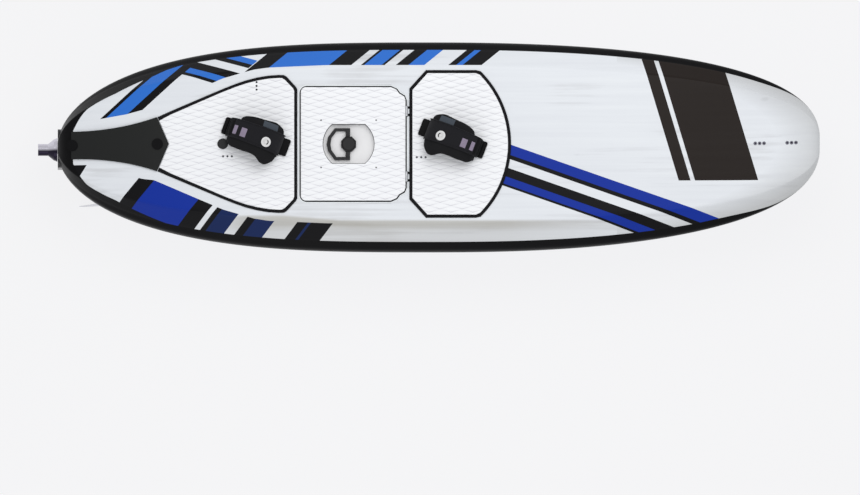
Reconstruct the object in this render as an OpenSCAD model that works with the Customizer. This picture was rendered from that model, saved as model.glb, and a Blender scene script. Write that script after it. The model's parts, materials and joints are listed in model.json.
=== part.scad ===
// Electric jet surfboard: a hollow board on a foam core, with a battery under a hinged
// hatch, a water jet under the tail, two foot straps and twin fins.
// +X points to the nose, +Y to port and +Z up. The origin is under the widest station,
// level with the fin tips.

/* [Board] */
// Half width of the board at its widest station
half_width = 337; // [325:1:350]
// Distance from the widest station to the nose tip
nose_length = 1249; // [1235:1:1280]
// Distance from the widest station to the tail end
tail_length = 1188; // [1180:1:1200]
// Height of the flat bottom above the fin tips
bottom_z = 172; // [165:1:180]
// Thickness of the board at its widest station
board_t = 164; // [160:1:180]
// Wall thickness of the deck and bottom shells
wall = 5; // [4:0.5:6]
// Stations along the board at which the shells are lofted
stations = 44; // [32:2:60]

/* [Hatch] */
// Length of the hatch lid along the board
hatch_l = 339; // [335:1:345]
// Width of the hatch lid
hatch_w = 369; // [365:1:375]
// Distance of the hatch centre aft of the widest station
hatch_aft = 242.5; // [238:0.5:246]
// Corner radius of the hatch lid
hatch_r = 22; // [16:1:26]
// Thickness of the hatch lid
lid_t = 20; // [18:1:21]
// Gap around the hatch lid
lid_gap = 2; // [1.8:0.1:2.5]
// Travel of each locking bolt over a quarter turn of the latch
bolt_travel = 12; // [9:0.5:12]

/* [Pads and straps] */
// Thickness of the black pad base
base_t = 2; // [1.5:0.5:2.5]
// Thickness of the white pad on top of it
pad_t = 3; // [2:0.5:4]
// Width of the black border around each pad
pad_border = 10; // [6:1:12]
// Height of a foot strap's arch above the pads
strap_h = 58; // [50:1:66]
// Half length of a foot strap's arch at its foot
strap_a = 74; // [70:1:78]
// Width of a strap's cover band
strap_w = 58; // [50:1:64]

/* [Jet drive] */
// Upward angle of the drive line towards the nose
drive_angle = 10; // [9.5:0.25:10.5]
// Bore radius of the pump housing
pump_r = 33; // [32.5:0.5:33]
// Number of impeller blades
blades = 4; // [3:1:5]
// Outer radius of the nozzle's mouth
mouth_r = 19; // [17:0.5:21]

/* [Fins] */
// Distance of each fin from the centreline
fin_y = 165; // [155:1:170]
// Length of a fin's base
fin_base = 107; // [100:1:110]
// Distance of the fin base's centre aft of the widest station
fin_aft = 965; // [955:1:970]

/* [Hidden] */
$fn = 48;

white = "whitesmoke";
black = [0.08, 0.08, 0.09];
grey = [0.45, 0.46, 0.48];
steel = "silver";
copper = [0.72, 0.45, 0.25];
orange_cable = [0.9, 0.45, 0.1];

fit = 0.2;            // gap between parts that are bonded or bolted together
run = 0.05;           // radial clearance of a running fit
deck_z = bottom_z + board_t;
pad_top = deck_z + fit + base_t + fit + pad_t;
cut = 400;            // a length that reaches past whatever it cuts

// ---- Board sections ----------------------------------------------------------------

// Where the tail cover, the pads and the hatch meet, along the board
hatch_x = -hatch_aft;
hatch_front = hatch_x + hatch_l / 2;
nose_tip_z = deck_z + 32;
tail_tip_z = bottom_z + 53;
nose_round_x = 1160;
tail_round_x = -1140;

// Share of the half width and of the thickness at each corner of a section, deck to bottom
section_w = [0.74, 0.915, 0.985, 1, 0.985, 0.95, 0.9, 0.85];
section_drop = [0, 0.36, 0.5, 0.66, 0.81, 0.93, 0.985, 1];
seam_drop = 0.83;

function outline(x) = x < 0
    ? half_width * sqrt(1 - pow(-x / tail_length, 3))
    : half_width * pow(1 - pow(x / nose_length, 2.4), 0.4);
function past(x, start) = x > start ? (x - start) * (x - start) : 0;
function deck_line(x) = deck_z + 3.5e-5 * past(x, 380) + 4.5e-4 * past(x, 960)
    - 2.65e-4 * past(-x, 690);
function bottom_line(x) = bottom_z + 1.38e-4 * past(x, 200);

// Share of the height lost to the rounding of the nose or tail, 0 to 1
function round_in(x, start, end) =
    let (q = max(0, min(1, (x - start) / (end - start)))) 1 - sqrt(1 - q * q);
function end_round(x) = x > 0
    ? round_in(x, nose_round_x, nose_length)
    : round_in(x, tail_round_x, -tail_length);
function tip_z(x) = x > 0 ? nose_tip_z : tail_tip_z;
function top_at(x) = deck_line(x) - (deck_line(x) - tip_z(x)) * end_round(x);
function low_at(x) = bottom_line(x) + (x > 0 ? (tip_z(x) - bottom_line(x)) * end_round(x) : 0);

// Stations crowd towards both ends, where the outline turns fastest
function station_x(i) =
    let (angle = 3 + 174 * i / stations)
    -tail_length + (tail_length + nose_length) * (1 - cos(angle)) / 2;

function half_section(x, inset, side) = [
    for (k = [0:len(section_w) - 1])
        let (top = top_at(x) - inset, low = low_at(x) + inset)
        [x * (1 - inset / nose_length),
         side * section_w[k] * (outline(x) - inset),
         top - (top - low) * section_drop[k]]
];
function reversed(list) = [for (i = [len(list) - 1:-1:0]) list[i]];

// The closed board shape, drawn in by inset on every side
module board_solid(inset = 0) {
    ring = 2 * len(section_w);
    points = [
        for (i = [0:stations])
            each concat(half_section(station_x(i), inset, -1),
                        reversed(half_section(station_x(i), inset, 1)))
    ];
    sides = [
        for (i = [0:stations - 1], k = [0:ring - 1])
            let (a = i * ring + k, b = i * ring + (k + 1) % ring)
            each [[a, a + ring, b], [b, a + ring, b + ring]]
    ];
    tail_cap = [[for (k = [0:ring - 1]) k]];
    nose_cap = [[for (k = [0:ring - 1]) stations * ring + ring - 1 - k]];
    polyhedron(points, concat(sides, tail_cap, nose_cap), convexity = 6);
}

// Everything above (side 1) or below (side -1) the seam between the shells
module seam_half(side) {
    line = [
        for (i = [0:stations])
            let (x = station_x(i + 0.5))
            [x, top_at(x) - (top_at(x) - low_at(x)) * seam_drop + side * fit]
    ];
    far = deck_z + side * cut;
    rotate([90, 0, 0]) linear_extrude(3 * half_width, center = true)
        polygon(concat([[-2 * tail_length, line[0][1]]], line,
                       [[2 * nose_length, line[stations][1]],
                        [2 * nose_length, far], [-2 * tail_length, far]]));
}

// A sheet that follows the deck line from x0 to x1, between two heights above the deck
module deck_sheet(x0, x1, low, high) {
    steps = 12;
    xs = [for (i = [0:steps]) x0 + (x1 - x0) * i / steps];
    rotate([90, 0, 0]) linear_extrude(3 * half_width, center = true)
        polygon(concat([for (x = xs) [x, deck_line(x) + low]],
                       [for (x = reversed(xs)) [x, deck_line(x) + high]]));
}

module rounded_rect(length, width, radius) {
    square([length - 2 * radius, width], center = true);
    square([length, width - 2 * radius], center = true);
    for (x = [-1, 1], y = [-1, 1])
        translate([x * (length / 2 - radius), y * (width / 2 - radius)]) circle(radius);
}

module box(x0, x1, y0, y1, z0, z1) {
    translate([x0, y0, z0]) cube([x1 - x0, y1 - y0, z1 - z0]);
}

// ---- Hatch frame: origin on the deck at the hatch centre ----------------------------

rim_t = 4;
lip = 16;             // width of the ledge that the lid's seal rests on
lip_t = 5;
lip_low = -lid_t - 3 - lip_t;
well_floor_z = bottom_z + wall + 4;

// Scalloped cut across the lid's forward port corner; grow moves it straight outwards
corner_line = [[112, 188.3], [139.5, 176], [148.5, 163.5], [164.5, 154], [172, 134]];
corner_out = [0.67, 0.74];
module corner_cuts(grow) {
    for (side = [-1, 1]) polygon([for (p = concat(corner_line, [[230, 134], [230, 230], [112, 230]]))
        [p[0] + grow * corner_out[0], side * (p[1] + grow * corner_out[1])]]);
}
module hatch_plan(grow) {
    difference() {
        rounded_rect(hatch_l + 2 * grow, hatch_w + 2 * grow, max(8, hatch_r + grow));
        corner_cuts(grow);
    }
}

// Hinges stand in notches in the lid's forward edge
hinge_y = 105;
hinge_half = 16;
barrel_r = 4;
pin_r = 2;
knuckle_half = 7.7;   // half length of the lid's middle knuckle
leaf_t = 2;
hinge_x = hatch_front + 1.5;
hinge_z = deck_z + 1;

module at_hatch() {
    translate([hatch_x, 0, deck_z]) children();
}
module at_hinges() {
    for (side = [-1, 1]) translate([hinge_x, side * hinge_y, hinge_z]) children();
}
module hinge_barrel(from, to, radius) {
    translate([0, from, 0]) rotate([-90, 0, 0]) cylinder(h = to - from, r = radius);
}

// Latch: a hub in a tray, a quarter turn of which drives two bolts through a scroll
hub_x = -257;
tray_depth = 12;
tray_t = 2.5;
tray_arc_r = 81;
tray_half_w = 62;
spindle_r = 9;
spindle_low_r = 6;
screw_dx = 88;
screw_dy = 76;
bar_r = 3.5;          // radius of the bail's pivot bar
bar_z = -6;           // its height below the deck
bolt_pin_r = 2.4;
bolt_x = 12;          // bolt width along the board
bolt_high = -28;
bolt_low = -33;
slot_play = 0.5;      // play along the bolt, so that the slanted slot clears its pin
pin_start = 16;       // pin's distance from the spindle with the bolts drawn in

module at_hub() {
    translate([hub_x, 0, deck_z]) children();
}
module barrel_shape(grow) {
    intersection() {
        circle(tray_arc_r + grow, $fn = 96);
        square([3 * tray_arc_r, 2 * (tray_half_w + grow)], center = true);
    }
}
module tray_screw_places() {
    for (x = [-1, 1], y = [-1, 1]) translate([x * screw_dx, y * screw_dy, 0]) children();
}
module flange_shape(grow) {
    rounded_rect(2 * screw_dx + 16 + 2 * grow, 2 * screw_dy + 16 + 2 * grow, 10 + grow);
}

// ---- Drive line: origin where its axis leaves the tail, +X forward and up ------------

drive_x = -1187;
drive_z = 154;
shaft_r = 5;
module on_drive(s = 0) {
    translate([drive_x, 0, drive_z]) rotate([0, -drive_angle, 0]) translate([s, 0, 0])
        rotate([0, 90, 0]) children();
}
module tube(h, outer, inner) {
    difference() {
        cylinder(h = h, r = outer);
        translate([0, 0, -1]) cylinder(h = h + 2, r = inner);
    }
}
seal_start = 330;
seal_r = 9;
tunnel_half = 63;
tunnel_top = 228;
tunnel_front = -850;
pump_wall = 4;
motor_r = 37;
motor_start = 392;
motor_len = 108;
fairing_front = -674;
fairing_aft = -1054;
housing_z = 115;
intake_front = -876;
intake_aft = -1052;
intake_half = 42.5;
fairing_slope = (bottom_z - 127) / (fairing_front + 1061);
function fairing_z(x) = bottom_z - fit - fairing_slope * (fairing_front - x);

// ---- Openings shared by the shells and the core -------------------------------------

insert_r = 5.5;
insert_deep = 20;
thread_r = 2.5;
vent_x = -659;
knob_x = [-1140, -868];
neck = [-988, -862, 42];      // aft end, front end and half width of the service opening
nose_insert_x = [1056, 1158];

// Each group of three inserts: centre, direction along the board or across it, pitch
insert_rows = [[-551, 186, 0, 12], [-644, -40, 1, 14], [-25, -43, 1, 14]];
module insert_places() {
    for (row = insert_rows, i = [-1:1])
        translate([row[0] + i * row[2] * row[3], row[1] + i * (1 - row[2]) * row[3], deck_z])
            children();
    for (x = nose_insert_x, i = [-1:1])
        translate([x + 14 * i, 0, deck_line(x + 14 * i)]) children();
}
module jet_tunnel(grow = 0) {
    box(-2 * tail_length, tunnel_front + grow, -tunnel_half - grow, tunnel_half + grow,
        -1, tunnel_top + grow);
}
module fin_places() {
    for (side = [-1, 1]) translate([-fin_aft, side * fin_y, bottom_z]) children();
}
fin_box_l = 126;
fin_box_w = 18;
fin_box_t = 20;
module fin_box_pockets(grow) {
    fin_places() translate([0, 0, fin_box_t / 2 - 1])
        cube([fin_box_l + 2 * grow, fin_box_w + 2 * grow, fin_box_t + 2], center = true);
}

// ---- Board ---------------------------------------------------------------------------

module deck_shell() {
    color(white) resize([0, 0, 0]) intersection() {
        difference() {
            board_solid();
            board_solid(wall);
            at_hatch() translate([0, 0, -cut / 2]) linear_extrude(cut)
                hatch_plan(lid_gap + rim_t + fit);
            at_hinges() box(-8, 26, -hinge_half - 1, hinge_half + 1, -1 - leaf_t - fit, 9);
            box(neck[0], neck[1], -neck[2], neck[2], deck_z - 60, deck_z + 9);
            insert_places() cylinder(h = 40, r = insert_r + 0.4, center = true, $fn = 12);
            translate([vent_x, 0, deck_z]) cylinder(h = 40, r = 12.5, center = true, $fn = 24);
            jet_tunnel();
        }
        seam_half(1);
    }
}

module bottom_shell() {
    color([0.6, 0.63, 0.74]) resize([0, 0, 0]) intersection() {
        difference() {
            board_solid();
            board_solid(wall);
            jet_tunnel();
            fin_box_pockets(fit);
        }
        seam_half(-1);
    }
}

module foam_core() {
    color("ivory") resize([0, 0, 0]) difference() {
        board_solid(wall + fit);
        at_hatch() translate([0, 0, well_floor_z - 4 - fit - deck_z]) linear_extrude(cut)
            hatch_plan(lid_gap + rim_t + fit);
        bay_outer(fit);
        box(neck[0] - 1, neck[1] + 1, -neck[2] - 1, neck[2] + 1, deck_z - 60, deck_z + 9);
        insert_places() cylinder(h = 60, r = insert_r + 0.4, center = true, $fn = 12);
        translate([vent_x, 0, deck_z]) cylinder(h = 60, r = 12.5, center = true, $fn = 24);
        jet_tunnel(fit);
        fin_box_pockets(fit);
        cable_path(7);
        on_drive(seal_start - 30) cylinder(h = 90, r = seal_r + fit);
    }
}

module battery_well() {
    color(black) difference() {
        translate([0, 0, well_floor_z - 4 - deck_z]) at_hatch()
            linear_extrude(deck_z - well_floor_z + 4) hatch_plan(lid_gap + rim_t);
        at_hatch() translate([0, 0, lip_low + lip_t]) linear_extrude(cut) hatch_plan(lid_gap);
        at_hatch() translate([0, 0, lip_low - 1]) linear_extrude(cut)
            hatch_plan(lid_gap - lip);
        at_hatch() translate([0, 0, well_floor_z - deck_z])
            linear_extrude(lip_low - well_floor_z + deck_z) hatch_plan(lid_gap);
        at_hinges() box(-8, 26, -hinge_half - 1, hinge_half + 1, -6, 9);
        cable_path(6 + fit);
    }
}

module well_seal() {
    color(black) at_hatch() translate([0, 0, lip_low + lip_t + 0.1]) linear_extrude(2.7)
        difference() {
            hatch_plan(lid_gap - 3);
            hatch_plan(lid_gap - 12);
        }
}

module bay_outer(grow) {
    box(-846 - grow, -668 + grow, -60 - grow, 60 + grow, 179.5 - grow, 282 + grow);
    box(-1010 - grow, -836 + grow, -78 - grow, 78 + grow, 232 - grow, 298 + grow);
}
module drive_bay() {
    color(grey) difference() {
        bay_outer(0);
        box(-843, -671, -57, 57, 182.5, 279);
        box(-1007, -839, -75, 75, 235, 295);
        box(neck[0], neck[1], -neck[2], neck[2], 250, 400);
        on_drive(seal_start - 10) cylinder(h = 50, r = seal_r + fit);
        cable_path(6 + fit);
    }
}

cover_aft = -1143;
cover_corner = -869;
cover_tip = -832;
cover_half_aft = 44;
cover_half_front = 87;
cover_pad_gap = 2;    // gap between the cover and the rear pad
cover_t = 5;          // height of the cover's top above the deck
knob_stem_r = 11;
// The cover's side sweeps out in a hollow curve towards its forward corners
function cover_half(x) = cover_half_aft + (cover_half_front - cover_half_aft)
    * pow((x - cover_aft) / (cover_corner - cover_aft), 2.2);
cover_side = [for (i = [0:10]) let (x = cover_aft + (cover_corner - cover_aft) * i / 10)
    [x, cover_half(x)]];
module cover_plan() {
    polygon(concat(cover_side, [[cover_tip, 0]],
                   [for (p = reversed(cover_side)) [p[0], -p[1]]]));
}
module tail_cover() {
    color([0.12, 0.14, 0.13]) difference() {
        intersection() {
            deck_sheet(cover_aft - 5, cover_tip + 5, 0.3, cover_t);
            linear_extrude(500) cover_plan();
        }
        translate([knob_x[1], 0, deck_line(knob_x[1])])
            cylinder(h = 60, r = knob_stem_r + 1, center = true);
    }
}
// Two round knobs lie on the cover and follow its slope; the forward one has a stem
module cover_knobs() {
    color(black) for (x = knob_x) translate([x, 0, deck_line(x) + cover_t + 0.3])
        rotate([0, -atan(deck_line(x + 0.5) - deck_line(x - 0.5)), 0]) {
            cylinder(h = 2.4, r = 18);
            if (x == knob_x[1]) translate([0, 0, 1 - cover_t])
                cylinder(h = cover_t, r = knob_stem_r);
        }
}
module vent_plug() {
    color(black) translate([vent_x, 0, deck_z]) {
        translate([0, 0, 0.3]) cylinder(h = 7, r = 17);
        translate([0, 0, -24]) cylinder(h = 25, r = 12);
    }
}

// ---- Pads ------------------------------------------------------------------------------

// Outline of the rear pad, starboard half mirrored from port; d draws it in
rear_corners = [[-829, 104], [-660, 176], [-620, 192], [-585, 204], [-550, 213],
                [-515, 219], [-480, 221.5], [-464, 221], [-455, 216], [-425, 183], [-421, 175]];
module rear_pad_plan(d) {
    side = [for (p = rear_corners) [p[0] + (p[0] < -700 ? d * 0.3 : 0)
                                    - (p[0] > -430 ? d : p[0] > -470 ? d * 0.6 : 0),
                                    p[1] - d * (p[0] > -430 ? 0.5 : 1)]];
    share = 1 - d * 1.2 / cover_half_front;
    corner = [cover_tip + cover_pad_gap + (cover_corner - cover_tip) * share,
              cover_half_front * share];
    polygon(concat([corner], side, [for (p = reversed(side)) [p[0], -p[1]]],
                   [[corner[0], -corner[1]], [cover_tip + cover_pad_gap, 0]]));
}
front_aft = -63;
front_half = 237;
front_arc_r = 329;
front_arc_x = -67;
module front_pad_plan(d) {
    intersection() {
        polygon([[front_aft + d, 178 - d / 2], [-10 + d / 2, front_half - d],
                 [150, front_half - d], [400, front_half - 60], [400, 60 - front_half],
                 [150, d - front_half], [-10 + d / 2, d - front_half],
                 [front_aft + d, d / 2 - 178]]);
        translate([front_arc_x, 0]) circle(front_arc_r - d, $fn = 120);
    }
}
module pad_holes() {
    insert_places() cylinder(h = 60, r = 3.4, center = true);
    translate([vent_x, 0, deck_z]) cylinder(h = 60, r = 17 + fit, center = true);
}
module rear_pad_base() {
    color(black) difference() {
        intersection() {
            deck_sheet(-880, -400, fit, fit + base_t);
            linear_extrude(500) rear_pad_plan(0);
        }
        pad_holes();
    }
}
module rear_pad() {
    color(white) difference() {
        intersection() {
            deck_sheet(-880, -400, fit + base_t + fit, pad_top - deck_z);
            linear_extrude(500) rear_pad_plan(pad_border);
        }
        pad_holes();
    }
}
module front_pad_base() {
    color(black) difference() {
        translate([0, 0, deck_z + fit]) linear_extrude(base_t) front_pad_plan(0);
        pad_holes();
    }
}
module front_pad() {
    color(white) difference() {
        translate([0, 0, pad_top - pad_t]) linear_extrude(pad_t) front_pad_plan(pad_border);
        pad_holes();
    }
}

// ---- Hatch ------------------------------------------------------------------------------

module lid_notches(deep) {
    at_hinges() {
        box(-8, 6, -hinge_half - 1, hinge_half + 1, -1 - deep, 9);
        box(-50, -5, -hinge_half - 1, hinge_half + 1, -1 - leaf_t - fit, 9);
    }
}
module hatch_lid() {
    color(grey) difference() {
        at_hatch() translate([0, 0, -lid_t]) linear_extrude(lid_t) hatch_plan(0);
        lid_notches(5);
        at_hub() translate([0, 0, -tray_depth - tray_t - fit]) linear_extrude(40)
            barrel_shape(tray_t + fit);
        at_hub() translate([0, 0, -2 - fit]) linear_extrude(40) flange_shape(fit);
        at_hub() tray_screw_places() cylinder(h = 30, r = 1.7, center = true);
        at_hub() cylinder(h = 60, r = spindle_r + 0.5, center = true);
    }
}
module hatch_pad() {
    color(white) difference() {
        at_hatch() translate([0, 0, fit]) linear_extrude(base_t + pad_t) hatch_plan(-5);
        at_hub() translate([0, 0, -40]) linear_extrude(80) barrel_shape(0);
        at_hub() tray_screw_places() cylinder(h = 30, r = 4.5, center = true);
    }
}
module hinge_lid_leaves() {
    color(steel) at_hinges() difference() {
        union() {
            hinge_barrel(-knuckle_half, knuckle_half, barrel_r);
            box(-12, 0, -knuckle_half, knuckle_half, -1 - leaf_t, -1);
            box(-46, -6, -hinge_half, hinge_half, -1 - leaf_t, -1);
        }
        hinge_barrel(-20, 20, pin_r + run);
        for (x = [-36, -18]) translate([x, 0, 0]) cylinder(h = 20, r = 2, center = true);
    }
}
module hinge_deck_leaves() {
    color(steel) at_hinges() difference() {
        for (y0 = [-hinge_half, knuckle_half + 0.3]) {
            hinge_barrel(y0, y0 + hinge_half - knuckle_half - 0.3, barrel_r);
            box(0, 22, y0, y0 + hinge_half - knuckle_half - 0.3, -1 - leaf_t, -1);
        }
        hinge_barrel(-20, 20, pin_r + 0.02);
    }
}
module hinge_pins() {
    color(steel) at_hinges() hinge_barrel(-hinge_half, hinge_half, pin_r);
}

module latch_tray() {
    color(white) at_hub() difference() {
        union() {
            translate([0, 0, -2]) linear_extrude(2) flange_shape(0);
            translate([0, 0, -tray_depth - tray_t]) linear_extrude(tray_depth + tray_t)
                barrel_shape(tray_t);
        }
        translate([0, 0, -tray_depth]) linear_extrude(40) barrel_shape(0);
        cylinder(h = 60, r = spindle_r + run, center = true);
        tray_screw_places() cylinder(h = 30, r = 2.2, center = true);
    }
}
module latch_screws() {
    color(steel) at_hub() tray_screw_places() {
        translate([0, 0, 0.1]) cylinder(h = 2, r = 4);
        translate([0, 0, -10]) cylinder(h = 11, r = 1.6);
    }
}
hub_r = 26;
hub_low = -tray_depth + 0.3;
module latch_hub() {
    color(black) at_hub() difference() {
        union() {
            translate([0, 0, hub_low]) rotate([0, 0, 22.5])
                cylinder(h = bar_z - hub_low, r = hub_r, $fn = 8);
            translate([0, 0, -22]) cylinder(h = 12, r = spindle_r);
            translate([0, 0, bolt_low + 1]) cylinder(h = 12, r = spindle_low_r);
        }
        translate([0, 0, bar_z]) hinge_barrel(-60, 60, bar_r + run);
    }
}
module hub_cap() {
    color(black) at_hub() difference() {
        union() {
            translate([0, 0, bar_z + 0.1]) rotate([0, 0, 22.5])
                cylinder(h = 5, r = hub_r, $fn = 8);
            translate([0, 0, bar_z + 5]) cylinder(h = 3, r1 = 22, r2 = 19);
        }
        translate([0, 0, bar_z]) hinge_barrel(-60, 60, bar_r + run);
    }
}
bail_reach = 70;
module latch_bail() {
    arm_half = 51;
    arm_w = 9.5;
    color(black) at_hub() translate([0, 0, bar_z]) {
        translate([0, 0, -bar_r]) linear_extrude(2 * bar_r) difference() {
            polygon([[arm_w / 2, -arm_half], [arm_w / 2, arm_half], [-44, arm_half],
                     [4 - bail_reach, 22], [-bail_reach, 0], [4 - bail_reach, -22],
                     [-44, -arm_half]]);
            polygon([[12, arm_w - arm_half], [12, arm_half - arm_w],
                     [-39, arm_half - arm_w], [15 - bail_reach, 19], [12 - bail_reach, 0],
                     [15 - bail_reach, -19], [-39, arm_w - arm_half]]);
        }
        hinge_barrel(-arm_half + arm_w / 2, arm_half - arm_w / 2, bar_r);
    }
}

// Distance of a scroll slot from the spindle, for a turn of the latch in degrees
function slot_r(turn) = pin_start + bolt_travel * turn / 90;
module scroll_slot(start) {
    half = bolt_pin_r + slot_play;
    turns = [for (i = [-2:14]) i * 90 / 12];
    polygon(concat(
        [for (t = turns) (slot_r(t) + half) * [cos(start - t), sin(start - t)]],
        [for (t = reversed(turns)) (slot_r(t) - half) * [cos(start - t), sin(start - t)]]));
}
module latch_scroll() {
    color(steel) at_hub() translate([0, 0, -27.2]) linear_extrude(4.6) difference() {
        circle(38);
        circle(spindle_low_r + 0.02);
        scroll_slot(90);
        scroll_slot(270);
    }
}
module scroll_nut() {
    color(steel) at_hub() translate([0, 0, -31.4]) difference() {
        cylinder(h = 4, r = 9, $fn = 6);
        translate([0, 0, -1]) cylinder(h = 9, r = spindle_low_r + 0.02);
    }
}
bolt_end = 165;
module bolt(side) {
    color(steel) at_hub() {
        box(-bolt_x / 2, bolt_x / 2, min(side * 11, side * bolt_end),
            max(side * 11, side * bolt_end), bolt_low, bolt_high);
        translate([0, side * pin_start, bolt_low + 1])
            cylinder(h = -23 - bolt_low - 1, r = bolt_pin_r);
    }
}
module port_bolt() {
    bolt(1);
}
module starboard_bolt() {
    bolt(-1);
}
module bolt_guides() {
    color(grey) at_hub() for (y = [-140, -62, 62, 140]) difference() {
        box(-12, 12, y - 5, y + 5, bolt_low - 3, -lid_t - 0.1);
        box(-bolt_x / 2 - fit, bolt_x / 2 + fit, y - 9, y + 9, bolt_low - fit,
            bolt_high + fit);
    }
}

// ---- Battery ------------------------------------------------------------------------------

bat_aft = -392;
bat_front = -108;
bat_half = 160;
bat_low = well_floor_z + 2;
bat_top = deck_z - 42;
bat_split = bat_top - 16;
module bat_block(inset, low, high) {
    translate([(bat_aft + bat_front) / 2, 0, low]) linear_extrude(high - low)
        rounded_rect(bat_front - bat_aft - 2 * inset, 2 * (bat_half - inset), 14 - inset);
}
module battery_case() {
    color(grey) difference() {
        bat_block(0, bat_low, bat_split);
        bat_block(3, bat_low + 3, bat_split + 1);
    }
}
module battery_top() {
    color(black) difference() {
        bat_block(0, bat_split + fit, bat_top);
        bat_block(3, bat_split - 1, bat_top - 4);
        for (y = [-52, 52]) translate([-250, y, bat_top]) cylinder(h = 30, r = 3.2, center = true);
    }
}
module cell_blocks() {
    pitch_x = 91;
    pitch_y = 102;
    color("steelblue") for (i = [-1:1], j = [-1:1])
        translate([-250 + i * pitch_x, j * pitch_y, bat_low + 4]) linear_extrude(72)
            rounded_rect(pitch_x - 4, pitch_y - 4, 10);
}
module battery_handle() {
    color(orange_cable) for (y = [-52, 52]) translate([-250, y, bat_top - 12])
        cylinder(h = 13, r = 3);
    color(orange_cable) box(-258, -242, -60, 60, bat_top + 1 - 0.2, bat_top + 3.4);
}
module cable_path(radius) {
    translate([-700, 50, 250]) rotate([0, 90, 0]) cylinder(h = 300, r = radius);
}
module battery_socket() {
    color(black) difference() {
        box(-413.8, -396, 30, 70, 238, 262);
        cable_path(6 + fit);
    }
}
module power_cable() {
    color(orange_cable) translate([-690, 50, 250]) rotate([0, 90, 0]) cylinder(h = 288, r = 6);
}

// ---- Drive ----------------------------------------------------------------------------------

module controller_box() {
    color(grey) difference() {
        box(-1000, -870, -60, 60, 238, 276);
        for (y = [-50:10:50]) box(-990, -880, y - 2, y + 2, 270, 280);
    }
}
module phase_cables() {
    color(orange_cable) for (y = [-14, 0, 14]) translate([-869.5, y, 246])
        rotate([0, 90, 0]) cylinder(h = 62, r = 3.5);
}
module motor_case() {
    color(steel) on_drive(motor_start) difference() {
        cylinder(h = motor_len, r = motor_r);
        translate([0, 0, 4]) cylinder(h = motor_len - 8, r = motor_r - 3);
        translate([0, 0, -1]) cylinder(h = motor_len + 2, r = shaft_r + 1);
    }
}
module motor_stator() {
    color(copper) on_drive(motor_start + 14) tube(motor_len - 28, motor_r - 3.1, 23);
}
module motor_rotor() {
    color(grey) {
        on_drive(motor_start + 16) cylinder(h = motor_len - 32, r = 22);
        on_drive(motor_start - 22) cylinder(h = motor_len + 18, r = shaft_r);
    }
}
module motor_bearings() {
    color("gainsboro") for (s = [motor_start + 4.1, motor_start + motor_len - 10.1])
        on_drive(s) tube(6, 13, shaft_r + run);
}
module shaft_coupling() {
    color(steel) on_drive(354) difference() {
        cylinder(h = 28, r = 14);
        translate([0, 0, -1]) cylinder(h = 30, r = shaft_r + 0.02);
        for (a = [0, 180]) rotate([0, 0, a]) translate([8, 0, 14]) rotate([0, 90, 0])
            cylinder(h = 10, r = 1.5);
    }
}
module drive_shaft() {
    color(steel) on_drive(26) cylinder(h = 340, r = shaft_r);
}
module shaft_seal() {
    color(black) on_drive(seal_start) tube(20, seal_r, shaft_r + run);
}
module impeller() {
    hub = 12;
    color("darkgoldenrod") on_drive(62) difference() {
        union() {
            cylinder(h = 44, r = hub);
            intersection() {
                cylinder(h = 44, r = pump_r - 0.5);
                for (i = [0:blades - 1]) rotate([0, 0, i * 360 / blades])
                    translate([0, 0, 22]) rotate([42, 0, 0])
                        translate([6, -1.5, -28]) cube([pump_r, 3, 56]);
            }
        }
        translate([0, 0, -1]) cylinder(h = 46, r = shaft_r + 0.02);
    }
}
module guide_vanes() {
    color(grey) on_drive(22) difference() {
        union() {
            tube(34, pump_r - 0.1, pump_r - 1.8);
            cylinder(h = 34, r = 12);
            for (i = [0:4]) rotate([0, 0, i * 72 + 18]) translate([8, -1.25, 0])
                cube([pump_r - 9, 2.5, 34]);
        }
        translate([0, 0, 2]) cylinder(h = 40, r = shaft_r + run);
    }
}
module pump_housing() {
    color(grey) on_drive(9) tube(109, pump_r + pump_wall, pump_r);
}
module jet_housing() {
    length = fairing_aft - drive_x - 2;
    color(black) difference() {
        intersection() {
            box(drive_x + 1, drive_x + 1 + length, -62, 62, housing_z, 214);
            translate([0, 0, 163]) rotate([0, 90, 0]) translate([0, 0, -1300])
                linear_extrude(600) rounded_rect(103, 124, 22);
        }
        on_drive(8) cylinder(h = 200, r = pump_r + pump_wall + 1.5);
        translate([drive_x - 5, 0, drive_z]) rotate([0, 90, 0]) cylinder(h = 30, r = pump_r);
    }
}
module jet_fairing() {
    color([0.38, 0.33, 0.27]) difference() {
        intersection() {
            rotate([90, 0, 0]) linear_extrude(200, center = true)
                polygon([[fairing_front, fairing_z(fairing_front)],
                         [fairing_aft, fairing_z(fairing_aft)],
                         [fairing_aft, bottom_z - fit], [fairing_front, bottom_z - fit + 0.01]]);
            linear_extrude(300) polygon([[fairing_aft, -62], [-820, -62], [-700, -40],
                [fairing_front, -16], [fairing_front, 16], [-700, 40], [-820, 62],
                [fairing_aft, 62]]);
        }
        box(fairing_aft - 1, intake_front, -intake_half, intake_half, 0, 300);
    }
}
module intake_duct() {
    color(grey) difference() {
        hull() {
            on_drive(119) cylinder(h = 3, r = pump_r + 3.5, $fn = 32);
            box(-888, -880, -41, 41, 150, 172);
        }
        hull() {
            on_drive(118) cylinder(h = 5, r = pump_r, $fn = 32);
            box(-889, -884, -37, 37, 138, 167);
        }
        box(-1050, -879, -50, 50, 100, 170);
        on_drive(150) cylinder(h = 300, r = shaft_r + 1.5);
    }
}
module intake_grate() {
    mid_x = (intake_aft + intake_front) / 2;
    reach = (intake_front - intake_aft) / 2 - 1;
    color(steel) translate([mid_x, 0, fairing_z(mid_x) + 1])
        rotate([0, -atan(fairing_slope), 0]) {
            for (y = [-32:16:32]) box(-reach, reach, y - 2, y + 2, 0, 6);
            for (x = [-1, 1]) translate([x * (reach - 3), 0, 3]) cube([6, 84, 6], center = true);
        }
}
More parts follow.
